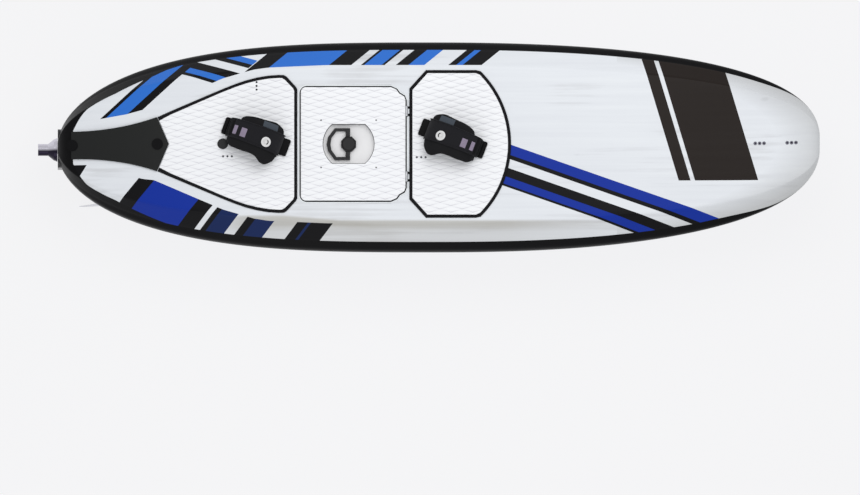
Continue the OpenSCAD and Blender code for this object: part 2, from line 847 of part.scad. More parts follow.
module nozzle() {
    cone_r = 37.5;
    color("gainsboro") translate([drive_x, 0, drive_z]) rotate([0, -90, 0]) rotate_extrude()
        polygon([[28, 0], [cone_r, 0], [cone_r, 5], [cone_r - 2, 5], [cone_r - 2, 8],
                 [cone_r - 3, 8], [cone_r - 3, 11], [mouth_r + 1.5, 28], [mouth_r, 30],
                 [mouth_r, 62], [mouth_r - 4, 62], [mouth_r - 4, 28]]);
}

// ---- Fins --------------------------------------------------------------------------------------

fin_depth = bottom_z - fit;
fin_rake = 137;
fin_steps = 10;
// Chord and its centre, from the base (q = 0) to the tip (q = 1)
function fin_lead(q) = fin_base / 2 - fin_rake * pow(q, 1.6) - 26 * q * q * q;
function fin_trail(q) = -fin_base / 2 - 60 * q - 40 * q * q;
module fin_blade() {
    ring = 16;
    points = [
        for (i = [0:fin_steps])
            let (q = i / fin_steps, lead = max(fin_lead(q), fin_trail(q) + 9),
                 half = (lead - fin_trail(q)) / 2, mid = (lead + fin_trail(q)) / 2)
            each [for (k = [0:ring - 1])
                let (a = 360 * k / ring)
                [mid + half * cos(a), (4.4 - 2.6 * q) * sin(a), -fit - fin_depth * q]]
    ];
    faces = [
        for (i = [0:fin_steps - 1], k = [0:ring - 1])
            let (a = i * ring + k, b = i * ring + (k + 1) % ring)
            each [[a, b, a + ring], [b, b + ring, a + ring]]
    ];
    polyhedron(points, concat(faces, [[for (k = [0:ring - 1]) ring - 1 - k]],
               [[for (k = [0:ring - 1]) fin_steps * ring + k]]), convexity = 3);
}
module fins() {
    color([0.8, 0.8, 0.83]) fin_places() {
        fin_blade();
        translate([-42, -3, -1]) cube([84, 6, 15]);
    }
}
module fin_boxes() {
    color(grey) fin_places() difference() {
        translate([0, 0, fin_box_t / 2]) cube([fin_box_l, fin_box_w, fin_box_t], center = true);
        translate([0, 0, 7]) cube([84 + 2, 6.4, 16], center = true);
        for (x = [-1, 1]) translate([x * 52, 0, -1]) cylinder(h = 13, r = 4.1);
    }
}
module fin_screws() {
    color(black) fin_places() for (x = [-1, 1]) translate([x * 52, 0, 1])
        cylinder(h = 10, r = 4);
}

// ---- Deck fittings and straps --------------------------------------------------------------------

module deck_inserts() {
    color("darkgoldenrod") insert_places() translate([0, 0, -insert_deep]) difference() {
        cylinder(h = insert_deep - 0.1, r = insert_r);
        translate([0, 0, 3]) cylinder(h = insert_deep, r = thread_r);
    }
}

// Each strap's centre, its turn, and 1 if it is the mirror image of the other
rear_strap = [-554, 23, -20, 0];
front_strap = [77, 16, -21, 1];
strap_tab_x = 92;
module at_strap(place) {
    translate([place[0], place[1], pad_top + 0.4]) rotate([0, 0, place[2]])
        mirror([place[3], 0, 0]) children();
}
// An arch along the strap, offset outwards by out, as thick as t and as wide as width
module strap_arch(out, t, width) {
    steps = 24;
    angles = [for (i = [0:steps]) 180 * i / steps];
    function arch(grow) = [for (a = angles)
        [(strap_a + grow) * cos(a), (strap_h + grow) * sin(a)]];
    rotate([90, 0, 0]) linear_extrude(width, center = true)
        polygon(concat(arch(out + t), reversed(arch(out))));
}
module strap_liner(place) {
    color(grey) at_strap(place) intersection() {
        strap_arch(0, 6, 160);
        linear_extrude(200) polygon([[-81, -34], [-48, -58], [0, -66], [34, -79], [60, -78],
                                     [81, -44], [81, 32], [68, 50], [24, 61], [-40, 46],
                                     [-81, 24]]);
    }
}
module strap_cover(place) {
    color(black) at_strap(place) {
        strap_arch(6.4, 3.4, strap_w);
        translate([36, 0, 0]) rotate([0, 33, 0]) translate([0, 0, strap_h + 2])
            cylinder(h = 11, r = 16);
    }
}
module rear_strap_liner() {
    strap_liner(rear_strap);
}
module rear_strap_cover() {
    strap_cover(rear_strap);
}
module front_strap_liner() {
    strap_liner(front_strap);
}
module front_strap_cover() {
    strap_cover(front_strap);
}
module strap_tabs() {
    color(black) for (place = [rear_strap, front_strap]) at_strap(place)
        for (x = [-1, 1]) translate([x * 101, 0, 0]) linear_extrude(6)
            rounded_rect(32, 54, 6);
}

deck_shell();
bottom_shell();
foam_core();
battery_well();
well_seal();
drive_bay();
tail_cover();
cover_knobs();
vent_plug();
rear_pad_base();
rear_pad();
front_pad_base();
front_pad();
hatch_lid();
hatch_pad();
hinge_lid_leaves();
hinge_deck_leaves();
hinge_pins();
latch_tray();
latch_screws();
latch_hub();
hub_cap();
latch_bail();
latch_scroll();
scroll_nut();
port_bolt();
starboard_bolt();
bolt_guides();
battery_case();
battery_top();
cell_blocks();
battery_handle();
battery_socket();
power_cable();
controller_box();
phase_cables();
motor_case();
motor_stator();
motor_rotor();
motor_bearings();
shaft_coupling();
drive_shaft();
shaft_seal();
impeller();
guide_vanes();
pump_housing();
jet_housing();
jet_fairing();
intake_duct();
intake_grate();
nozzle();
fins();
fin_boxes();
fin_screws();
deck_inserts();
rear_strap_liner();
rear_strap_cover();
front_strap_liner();
front_strap_cover();
strap_tabs();
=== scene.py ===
"""Electric jet surfboard: painted hull, padded deck, foot straps, hatch, jet and fins.

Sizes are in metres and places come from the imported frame. +X is the nose, +Y is port.
"""

import json
import math
from contextlib import contextmanager

import bmesh
import bpy
from mathutils import Matrix, Vector
from mathutils.bvhtree import BVHTree


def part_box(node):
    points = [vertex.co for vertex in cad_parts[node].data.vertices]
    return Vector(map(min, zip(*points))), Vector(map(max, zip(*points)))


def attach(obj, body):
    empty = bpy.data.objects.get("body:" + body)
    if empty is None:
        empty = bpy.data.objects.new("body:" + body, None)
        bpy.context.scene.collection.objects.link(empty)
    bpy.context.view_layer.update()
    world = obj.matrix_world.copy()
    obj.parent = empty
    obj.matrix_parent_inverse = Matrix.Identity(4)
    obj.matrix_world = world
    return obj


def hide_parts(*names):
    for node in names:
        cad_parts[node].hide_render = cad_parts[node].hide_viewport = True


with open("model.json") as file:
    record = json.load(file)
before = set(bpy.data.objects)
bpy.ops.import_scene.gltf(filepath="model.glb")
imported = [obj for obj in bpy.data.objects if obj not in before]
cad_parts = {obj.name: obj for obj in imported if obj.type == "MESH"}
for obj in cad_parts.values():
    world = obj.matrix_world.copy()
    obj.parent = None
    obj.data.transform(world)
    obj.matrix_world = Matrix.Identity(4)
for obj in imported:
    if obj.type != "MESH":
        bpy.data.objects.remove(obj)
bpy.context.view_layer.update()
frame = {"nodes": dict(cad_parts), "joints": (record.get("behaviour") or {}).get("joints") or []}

MM = 0.001
PI = math.pi
SHARP = math.radians(40)


# ---- Sizes taken from the frame

def corners(node):
    """A node's lowest and highest corners as two vectors."""
    low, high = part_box(node)
    return Vector(low), Vector(high)


shell_low, shell_high = corners("deck_shell")
lid_low, lid_high = corners("hatch_lid")

DECK_Z = lid_high.z
BOTTOM_Z = corners("bottom_shell")[0].z
HALF_W = shell_high.y
NOSE_X = shell_high.x + 1.7 * MM
TAIL_X = shell_low.x - 1.6 * MM
JOINTS = {joint["name"]: joint for joint in frame["joints"]}
HUB_X = JOINTS["latch_turn"]["pos_m"][0]
PAD_TOP = corners("front_pad")[1].z


# ---- Hull shape

def outline(x):
    """Half width of the board at x."""
    if x < 0:
        return HALF_W * math.sqrt(max(0.0, 1 - (x / TAIL_X) ** 3))
    return HALF_W * max(0.0, 1 - (x / NOSE_X) ** 2.4) ** 0.4


def past(x, start):
    """Square of the distance by which x lies beyond start, or 0."""
    return max(0.0, x - start) ** 2


def deck_line(x):
    """Height of the deck's centreline at x."""
    return (DECK_Z + 0.035 * past(x, 0.380) + 0.45 * past(x, 0.960)
            - 0.265 * past(-x, 0.690))


def bottom_line(x):
    """Height of the bottom's centreline at x."""
    return BOTTOM_Z + 0.138 * past(x, 0.200)


def end_round(x):
    """Share of the height that the rounding of the nose or tail takes away."""
    start, end = (1.160, NOSE_X) if x > 0 else (-1.140, TAIL_X)
    q = min(1.0, max(0.0, (x - start) / (end - start)))
    return 1 - math.sqrt(1 - q * q)


def hull_heights(x):
    """Heights of the deck and of the bottom at x, with the ends rounded."""
    tip = DECK_Z + 0.032 if x > 0 else BOTTOM_Z + 0.053
    deck, bottom, lost = deck_line(x), bottom_line(x), end_round(x)
    top = deck - (deck - tip) * lost
    low = bottom + (tip - bottom) * lost if x > 0 else bottom
    return top, low


def catmull(points, steps):
    """A smooth curve through the points, with so many steps between two of them."""
    ends = [points[0]] + list(points) + [points[-1]]
    curve = []
    for i in range(len(points) - 1):
        a, b, c, d = (Vector(p) for p in ends[i:i + 4])
        for k in range(steps):
            t = k / steps
            curve.append(0.5 * (2 * b + (c - a) * t + (2 * a - 5 * b + 4 * c - d) * t ** 2
                                + (3 * b - a - 3 * c + d) * t ** 3))
    curve.append(Vector(points[-1]))
    return curve


def spread(a, b, count):
    return [Vector(a).lerp(Vector(b), i / count) for i in range(count)]


# Section of the hull: shares of the half width and of the thickness
SEAM = (0.983, 0.83)
CHINE = (0.85, 1.0)
deck_profile = (spread((0, 0), (0.725, 0), 16) + spread((0.725, 0.0), (0.735, 0.002), 2)
                + spread((0.735, 0.002), (0.75, 0.018), 3)
                + spread((0.75, 0.018), (0.905, 0.337), 10)
                + catmull([(0.905, 0.337), (0.922, 0.375), (0.985, 0.5), (1.0, 0.66), SEAM], 5))
bottom_profile = (spread((0, 1), CHINE, 10)
                  + catmull([CHINE, (0.90, 0.985), (0.95, 0.93), SEAM], 5))

STATIONS = 260


def station(i):
    """x of a station; stations crowd towards the two ends."""
    angle = math.radians(2.6 + 174.8 * i / STATIONS)
    return TAIL_X + (NOSE_X - TAIL_X) * (1 - math.cos(angle)) / 2


def hull_point(x, share, side, wall=0.0):
    """A point of the hull's section at x; wall moves it inwards."""
    top, low = hull_heights(x)
    lost = min(wall, 0.3 * (top - low))
    width = outline(x) - min(wall, 0.3 * outline(x))
    return Vector((x, side * share.x * width,
                   top - lost - (top - low - 2 * lost) * share.y))


# ---- Mesh helpers

def shade_smooth(piece):
    for face in piece.data.polygons:
        face.use_smooth = True


def new_object(name, mesh, body, replaces=()):
    """Link a mesh as a piece that rides on a body."""
    piece = bpy.data.objects.new(name, mesh)
    bpy.context.scene.collection.objects.link(piece)
    shade_smooth(piece)
    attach(piece, body)
    if replaces:
        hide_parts(*replaces)
    return piece


def mesh_from(name, points, faces):
    mesh = bpy.data.meshes.new(name)
    mesh.from_pydata([tuple(p) for p in points], [], faces)
    mesh.update()
    return mesh


def apply_modifiers(piece):
    """Turn the piece's modifiers into plain mesh."""
    graph = bpy.context.evaluated_depsgraph_get()
    done = bpy.data.meshes.new_from_object(piece.evaluated_get(graph))
    old = piece.data
    piece.modifiers.clear()
    piece.data = done
    bpy.data.meshes.remove(old)


def loft(name, rings, caps=True):
    """A mesh through closed rings of equal length."""
    count = len(rings[0])
    points = [p for ring in rings for p in ring]
    faces = [(i * count + k, i * count + (k + 1) % count,
              (i + 1) * count + (k + 1) % count, (i + 1) * count + k)
             for i in range(len(rings) - 1) for k in range(count)]
    if caps:
        faces.append(tuple(reversed(range(count))))
        faces.append(tuple((len(rings) - 1) * count + k for k in range(count)))
    return mesh_from(name, points, faces)


@contextmanager
def editing(mesh):
    """A mesh's editable form, which is written back at the end."""
    bm = bmesh.new()
    bm.from_mesh(mesh)
    yield bm
    bm.to_mesh(mesh)
    bm.free()


def outward(mesh):
    """Turn all faces of a closed mesh outwards."""
    with editing(mesh) as bm:
        bmesh.ops.remove_doubles(bm, verts=bm.verts, dist=1e-6)
        bmesh.ops.recalc_face_normals(bm, faces=bm.faces)
    return mesh


def prism(points, low, high):
    """An upright prism on a plan outline, as a bare mesh."""
    count = len(points)
    verts = [(p[0], p[1], z) for z in (low, high) for p in points]
    faces = [tuple(range(count)), tuple(count + k for k in range(count))]
    faces += [(k, (k + 1) % count, count + (k + 1) % count, count + k) for k in range(count)]
    return outward(mesh_from("prism", verts, faces))


def rounded_rect(centre, length, width, radius, steps=8):
    """Plan points of a rounded rectangle."""
    cx, cy = centre
    points = []
    for quarter, (sx, sy) in enumerate(((1, 1), (-1, 1), (-1, -1), (1, -1))):
        ox = cx + sx * (length / 2 - radius)
        oy = cy + sy * (width / 2 - radius)
        for k in range(steps + 1):
            a = PI / 2 * (quarter + k / steps)
            points.append((ox + radius * math.cos(a), oy + radius * math.sin(a)))
    return points


def circle_points(centre, radius, count=24):
    return [(centre[0] + radius * math.cos(2 * PI * k / count),
             centre[1] + radius * math.sin(2 * PI * k / count)) for k in range(count)]


def joined(meshes, name):
    """Several meshes as one."""
    bm = bmesh.new()
    for mesh in meshes:
        bm.from_mesh(mesh)
    whole = bpy.data.meshes.new(name)
    bm.to_mesh(whole)
    bm.free()
    return whole


def carve(piece, cutters):
    """Cut a list of meshes out of a piece."""
    knife = bpy.data.objects.new("cutter", joined(cutters, "cutter"))
    bpy.context.scene.collection.objects.link(knife)
    cut = piece.modifiers.new("cut", "BOOLEAN")
    cut.operation = "DIFFERENCE"
    cut.solver = "EXACT"
    cut.object = knife
    apply_modifiers(piece)
    bpy.data.objects.remove(knife)
    shade_smooth(piece)


def sharpen(piece, degrees=35):
    """Shade smooth but keep edges sharper than an angle."""
    limit = math.radians(degrees)
    with editing(piece.data) as bm:
        for edge in bm.edges:
            edge.smooth = len(edge.link_faces) == 2 and edge.calc_face_angle(0) < limit


# ---- Shader helpers

def operation(kind):
    return lambda value, *others: value.make(kind, *others)


class Val:
    """A number in a shader tree that can be added, multiplied and compared."""

    def __init__(self, tree, out):
        self.tree = tree
        self.out = out

    def make(self, kind, *others):
        node = self.tree.nodes.new("ShaderNodeMath")
        node.operation = kind
        for place, item in enumerate((self,) + others):
            if isinstance(item, Val):
                self.tree.links.new(item.out, node.inputs[place])
            else:
                node.inputs[place].default_value = item
        return Val(self.tree, node.outputs[0])

    def __rsub__(self, other):
        return (self * -1).make("ADD", other)

    __add__ = __radd__ = operation("ADD")
    __sub__ = operation("SUBTRACT")
    __mul__ = operation("MULTIPLY")
    __truediv__ = operation("DIVIDE")
    above = operation("GREATER_THAN")
    below = operation("LESS_THAN")
    absolute = operation("ABSOLUTE")

    def clamp(self):
        node = self.tree.nodes.new("ShaderNodeClamp")
        self.tree.links.new(self.out, node.inputs[0])
        return Val(self.tree, node.outputs[0])


class Paint:
    """One material under construction: a Principled shader and what feeds it."""

    def __init__(self, name, roughness=0.4, metallic=0.0, coat=0.0, specular=0.5):
        self.material = bpy.data.materials.new(name)
        self.material.use_nodes = True
        self.tree = self.material.node_tree
        self.tree.nodes.clear()
        self.shader = self.tree.nodes.new("ShaderNodeBsdfPrincipled")
        self.output = self.tree.nodes.new("ShaderNodeOutputMaterial")
        self.tree.links.new(self.shader.outputs[0], self.output.inputs["Surface"])
        for socket, value in (("Roughness", roughness), ("Metallic", metallic),
                              ("Coat Weight", coat), ("Coat Roughness", 0.12),
                              ("Specular IOR Level", specular)):
            self.shader.inputs[socket].default_value = value
        self.coords = self.tree.nodes.new("ShaderNodeTexCoord").outputs["Object"]

    def axes(self):
        """x, y and z of the point in the row frame, in metres."""
        node = self.tree.nodes.new("ShaderNodeSeparateXYZ")
        self.tree.links.new(self.coords, node.inputs[0])
        return [Val(self.tree, out) for out in node.outputs]

    def attribute(self, name):
        node = self.tree.nodes.new("ShaderNodeAttribute")
        node.attribute_name = name
        return Val(self.tree, node.outputs["Fac"])

    def noise(self, scale, stretch=(1, 1, 1), detail=3.0, offset=(0, 0, 0)):
        """Noise from 0 to 1; a small stretch number draws it out along that axis."""
        mapping = self.tree.nodes.new("ShaderNodeMapping")
        mapping.inputs["Scale"].default_value = stretch
        mapping.inputs["Location"].default_value = offset
        self.tree.links.new(self.coords, mapping.inputs[0])
        node = self.tree.nodes.new("ShaderNodeTexNoise")
        node.inputs["Scale"].default_value = scale
        node.inputs["Detail"].default_value = detail
        self.tree.links.new(mapping.outputs[0], node.inputs["Vector"])
        return Val(self.tree, node.outputs[0])

    def colour(self, rgb):
        node = self.tree.nodes.new("ShaderNodeRGB")
        node.outputs[0].default_value = (*linear(rgb), 1)
        return node.outputs[0]

    def mix(self, share, first, second):
        """Colour between first (share 0) and second (share 1)."""
        node = self.tree.nodes.new("ShaderNodeMix")
        node.data_type = "RGBA"
        if isinstance(share, Val):
            self.tree.links.new(share.out, node.inputs[0])
        else:
            node.inputs[0].default_value = share
        for place, item in ((6, first), (7, second)):
            source = self.colour(item) if isinstance(item, tuple) else item
            self.tree.links.new(source, node.inputs[place])
        return node.outputs[2]

    def bands(self, value, low, high, stops):
        """Colour of the band that value falls in, and 1 where it isn't white."""
        node = self.tree.nodes.new("ShaderNodeValToRGB")
        ramp = node.color_ramp
        ramp.interpolation = "CONSTANT"
        while len(ramp.elements) > 1:
            ramp.elements.remove(ramp.elements[-1])
        for k, (start, rgb) in enumerate(stops):
            place = min(1.0, max(0.0, (start - low) / (high - low)))
            element = ramp.elements[0] if k == 0 else ramp.elements.new(place)
            element.position = place
            element.color = (*linear(rgb), 0 if rgb == WHITE else 1)
        self.tree.links.new(((value - low) / (high - low)).out, node.inputs[0])
        return node.outputs[0], Val(self.tree, node.outputs[1])

    def base(self, source):
        if isinstance(source, tuple):
            source = self.colour(source)
        self.tree.links.new(source, self.shader.inputs["Base Color"])

    def rough(self, value):
        self.tree.links.new(value.clamp().out, self.shader.inputs["Roughness"])

    def bump(self, height, depth):
        node = self.tree.nodes.new("ShaderNodeBump")
        node.inputs["Distance"].default_value = depth
        self.tree.links.new(height.out, node.inputs["Height"])
        self.tree.links.new(node.outputs[0], self.shader.inputs["Normal"])


def linear(rgb):
    """Linear colour from 0 to 255 screen values."""
    return tuple((c / 255 / 12.92) if c <= 10 else ((c / 255 + 0.055) / 1.055) ** 2.4
                 for c in rgb)


def dress(piece, material):
    """Give a piece one material."""
    piece.data.materials.clear()
    piece.data.materials.append(material)


# ---- Colours

WHITE = (232, 236, 239)
BLACK = (12, 12, 15)
# Lighter copy of BLUE: painted glare for the bars on the port side
GLARE_LIT_BLUE = (46, 110, 202)
BLUE = (18, 48, 150)
NAVY = (20, 38, 84)


def metal(name, rgb, roughness=0.32, grain=400.0, stretch=(0.1, 1, 1)):
    """Machined or brushed metal."""
    paint = Paint(name, roughness, metallic=1.0)
    grainy = paint.noise(grain, stretch)
    paint.base(paint.mix(grainy, tuple(int(c * 0.86) for c in rgb), rgb))
    paint.rough(grainy * 0.25 + (roughness - 0.1))
    paint.bump(grainy, 0.00008)
    return paint.material


def plastic(name, rgb, roughness=0.45, grain=900.0, depth=0.00006, coat=0.0, specular=0.3):
    """Moulded plastic with a fine grain and slightly uneven tone."""
    paint = Paint(name, roughness, coat=coat, specular=specular)
    tone = paint.noise(9.0)
    fine = paint.noise(grain)
    paint.base(paint.mix(tone, tuple(int(c * 0.88) for c in rgb), rgb))
    paint.rough(fine * 0.2 + (roughness - 0.1))
    paint.bump(fine, depth)
    return paint.material


def rubber(name, rgb, roughness=0.75):
    """Matt rubber with a fine skin."""
    paint = Paint(name, roughness, specular=0.15)
    fine = paint.noise(1500.0)
    tone = paint.noise(14.0)
    paint.base(paint.mix(tone, tuple(int(c * 0.85) for c in rgb), rgb))
    paint.bump(fine, 0.0001)
    return paint.material


def fabric(name, rgb, pitch=0.0016):
    """Woven cloth: two crossed sets of fine threads."""
    paint = Paint(name, 0.85, specular=0.15)
    paint.shader.inputs["Sheen Weight"].default_value = 0.05
    x, y, z = paint.axes()
    warp = ((x + z * 0.6) * (2 * PI / pitch)).make("SINE")
    weft = ((y + z * 0.6) * (2 * PI / pitch)).make("SINE")
    weave = (warp * weft) * 0.5 + 0.5
    tone = paint.noise(30.0)
    paint.base(paint.mix(weave * 0.5 + tone * 0.5, tuple(int(c * 0.72) for c in rgb), rgb))
    paint.bump(weave, 0.0002)
    return paint.material


def foam(name, rgb):
    """Closed-cell foam with small pores."""
    paint = Paint(name, 0.8)
    pores = paint.noise(260.0, detail=5.0)
    paint.base(paint.mix(pores.above(0.62) * 0.5, rgb, tuple(int(c * 0.8) for c in rgb)))
    paint.bump(pores, 0.0004)
    return paint.material


# ---- Hull

WALL = 5 * MM
WELL_GROW = 6.2 * MM          # from the lid's edge to the outside of the well
HATCH_X = (lid_low.x + lid_high.x) / 2
HATCH_L = lid_high.x - lid_low.x
HATCH_W = lid_high.y - lid_low.y
CORNER_LINE = [(0.112, 0.1883), (0.1395, 0.176), (0.1485, 0.1635), (0.1645, 0.154),
               (0.172, 0.134)]
INSERT_ROWS = [(-0.551, 0.186, 0, 0.012), (-0.644, -0.040, 1, 0.014),
               (-0.025, -0.043, 1, 0.014), (1.056, 0, 1, 0.014), (1.158, 0, 1, 0.014)]
VENT_X = sum(c.x for c in corners("vent_plug")) / 2


def hatch_plan(grow=0.0, radius=0.022):
    """Outline of the hatch, with the scalloped cuts at its forward corners."""
    half_l, half_w = HATCH_L / 2 + grow, HATCH_W / 2 + grow
    side = [(x + 0.67 * grow, y + 0.74 * grow) for x, y in CORNER_LINE]
    cut = [(x0 + (x1 - x0) * s / 4, y0 + (y1 - y0) * s / 4)
           for (x0, y0), (x1, y1) in zip(side, side[1:]) for s in range(4)]
    edge = [(half_l, 0)] + [(x, y) for x, y in reversed(cut) if x < half_l and y < half_w]
    r = max(0.008, radius + grow)
    edge += [(-half_l + r - r * math.sin(a), half_w - r + r * math.cos(a))
             for a in (PI / 2 * k / 8 for k in range(9))]
    full = edge + [(x, -y) for x, y in reversed(edge[1:])]
    return [(HATCH_X + x, y) for x, y in full]


def insert_spots():
    """Plan places of the threaded inserts, three to a row."""
    return [(x + i * along * pitch, y + i * (1 - along) * pitch)
            for x, y, along, pitch in INSERT_ROWS for i in (-1, 0, 1)]


def box_mesh(low, high):
    plan = [(low[0], low[1]), (high[0], low[1]), (high[0], high[1]), (low[0], high[1])]
    return prism(plan, low[2], high[2])


def jet_tunnel():
    """The opening for the intake and the jet housing."""
    half, fore, top = 0.063, -0.850, 0.216
    return box_mesh((-1.4, -half, 0.0), (fore, half, top))


def skin(name, profile, body, nodes):
    """One half of the hull's thick skin, above or below the seam."""
    count = 2 * len(profile) - 1
    points = []
    for i in range(STATIONS + 1):
        x = station(i)
        for wall in (0.0, WALL):
            points += [hull_point(x, share, 1, wall) for share in reversed(profile)]
            points += [hull_point(x, share, -1, wall) for share in profile[1:]]
    faces = []
    for i in range(STATIONS):
        a, b = 2 * count * i, 2 * count * (i + 1)
        for k in range(count - 1):
            faces.append((a + k, b + k, b + k + 1, a + k + 1))
            faces.append((a + count + k, a + count + k + 1, b + count + k + 1, b + count + k))
        for k in (0, count - 1):
            faces.append((a + k, b + k, b + count + k, a + count + k))
    for a in (0, 2 * count * STATIONS):
        faces += [(a + k, a + k + 1, a + count + k + 1, a + count + k)
                  for k in range(count - 1)]
    mesh = outward(mesh_from(name, points, faces))
    return new_object(name, mesh, body, nodes)


def ramp(value, start, end):
    """0 before start, 1 after end and straight between them."""
    return min(1.0, max(0.0, (value - start) / (end - start)))


def rail_reach(x, y, z):
    """How far a point lies inside the black rail, roughly in metres; negative outside."""
    top, low = hull_heights(min(max(x, TAIL_X), NOSE_X))
    limit = 0.36 + (0.22 if y > 0 else 0.36) * ramp(x, 0.9 if y < 0 else 1.02, 1.24) ** 2
    along_rail = ((top - z) / max(top - low, MM) - limit) * 0.1
    reach = 0.020 * ramp(-x, 0.84, 1.0) + 0.035 * ramp(-x, 1.085, 1.14) ** 2
    if y > 0:
        reach += 0.010 * ramp(-x, 0.79, 0.88)
    reach += 0.25 * ramp(-x, 1.138, 1.15)
    round_tail = abs(y) - 0.915 * outline(x) + reach if x < -0.79 else -1
    return max(along_rail, round_tail)


def mark_paint(piece):
    """Store each point's distance outside the bars' inner edge and inside the rail."""
    mesh = piece.data
    edge = mesh.attributes.new("edge", "FLOAT", "POINT")
    rail = mesh.attributes.new("rail", "FLOAT", "POINT")
    for k, vertex in enumerate(mesh.vertices):
        x, y, z = vertex.co
        edge.data[k].value = abs(y) - bar_edge(x)
        rail.data[k].value = rail_reach(x, y, z)


BAR_EDGE = [(-1.19, 0.060), (-1.035, 0.086), (-0.968, 0.097), (-0.914, 0.111),
            (-0.879, 0.115), (-0.739, 0.176), (-0.687, 0.198), (-0.660, 0.210),
            (-0.612, 0.224), (-0.560, 0.239), (-0.513, 0.246), (-0.326, 0.254), (1.3, 0.254)]


def bar_edge(x):
    """Distance from the centreline at which the painted bars start."""
    for (x0, y0), (x1, y1) in zip(BAR_EDGE, BAR_EDGE[1:]):
        if x <= x1:
            return y0 + (y1 - y0) * max(0.0, (x - x0) / (x1 - x0))
    return BAR_EDGE[-1][1]


def build_hull():
    """The deck and bottom skins, with the openings for what is set into them."""
    deck = skin("hull_deck", deck_profile, "board", ["deck_shell"])
    cutters = [prism(hatch_plan(WELL_GROW), 0.28, 0.36), jet_tunnel(),
               box_mesh((-0.988, -0.042, 0.27), (-0.862, 0.042, 0.36)),
               prism(circle_points((VENT_X, 0), 0.0125), 0.3, 0.36)]
    cutters += [prism(circle_points(spot, 0.0059, 16), deck_line(spot[0]) - 0.02,
                      deck_line(spot[0]) + 0.01) for spot in insert_spots()]
    carve(deck, cutters)
    mark_paint(deck)
    dress(deck, deck_paint())
    sharpen(deck, 32)
    bottom = skin("hull_bottom", bottom_profile, "board", ["bottom_shell"])
    fin_low, fin_high = corners("fin_boxes")
    pockets = []
    for side in (-1, 1):
        y = side * (fin_high.y - 0.009)
        pockets.append(box_mesh((fin_low.x - 0.2 * MM, y - 0.0092, 0.15),
                                (fin_high.x + 0.2 * MM, y + 0.0092, 0.20)))
    carve(bottom, [jet_tunnel()] + pockets)
    dress(bottom, bottom_paint())
    sharpen(bottom, 32)


PORT_BARS = [(-1300, WHITE), (-1144.5, BLACK), (-1130, GLARE_LIT_BLUE), (-1074.5, BLACK),
             (-1037, WHITE), (-846, BLACK), (-784, GLARE_LIT_BLUE), (-604, BLACK), (-531, WHITE),
             (-499, BLACK), (-490, GLARE_LIT_BLUE), (-433, BLACK), (-426, WHITE),
             (-390, BLACK), (-349, GLARE_LIT_BLUE), (-296, WHITE), (-221, BLACK),
             (-193, GLARE_LIT_BLUE), (-176, BLACK), (-116, WHITE)]
CROSS_BARS = [(-200, WHITE), (-20, BLACK), (-8, GLARE_LIT_BLUE), (12, BLACK), (39, WHITE),
              (65, BLACK), (80, GLARE_LIT_BLUE), (101, WHITE)]
STARBOARD_BARS = [(-1300, WHITE), (-842, BLACK), (-783, BLUE), (-593, BLACK),
                  (-530, WHITE), (-511, BLACK), (-491, NAVY), (-425, WHITE),
                  (-389, BLACK), (-357, NAVY), (-294, WHITE), (-215, BLACK),
                  (-180, NAVY), (-168, BLACK), (-97, WHITE)]
NOSE_STRIPES = [(-260, WHITE), (-143, BLACK), (-135, BLUE), (-111, BLACK), (-80, WHITE),
                (-50, BLACK), (-37, BLUE), (-3, WHITE)]


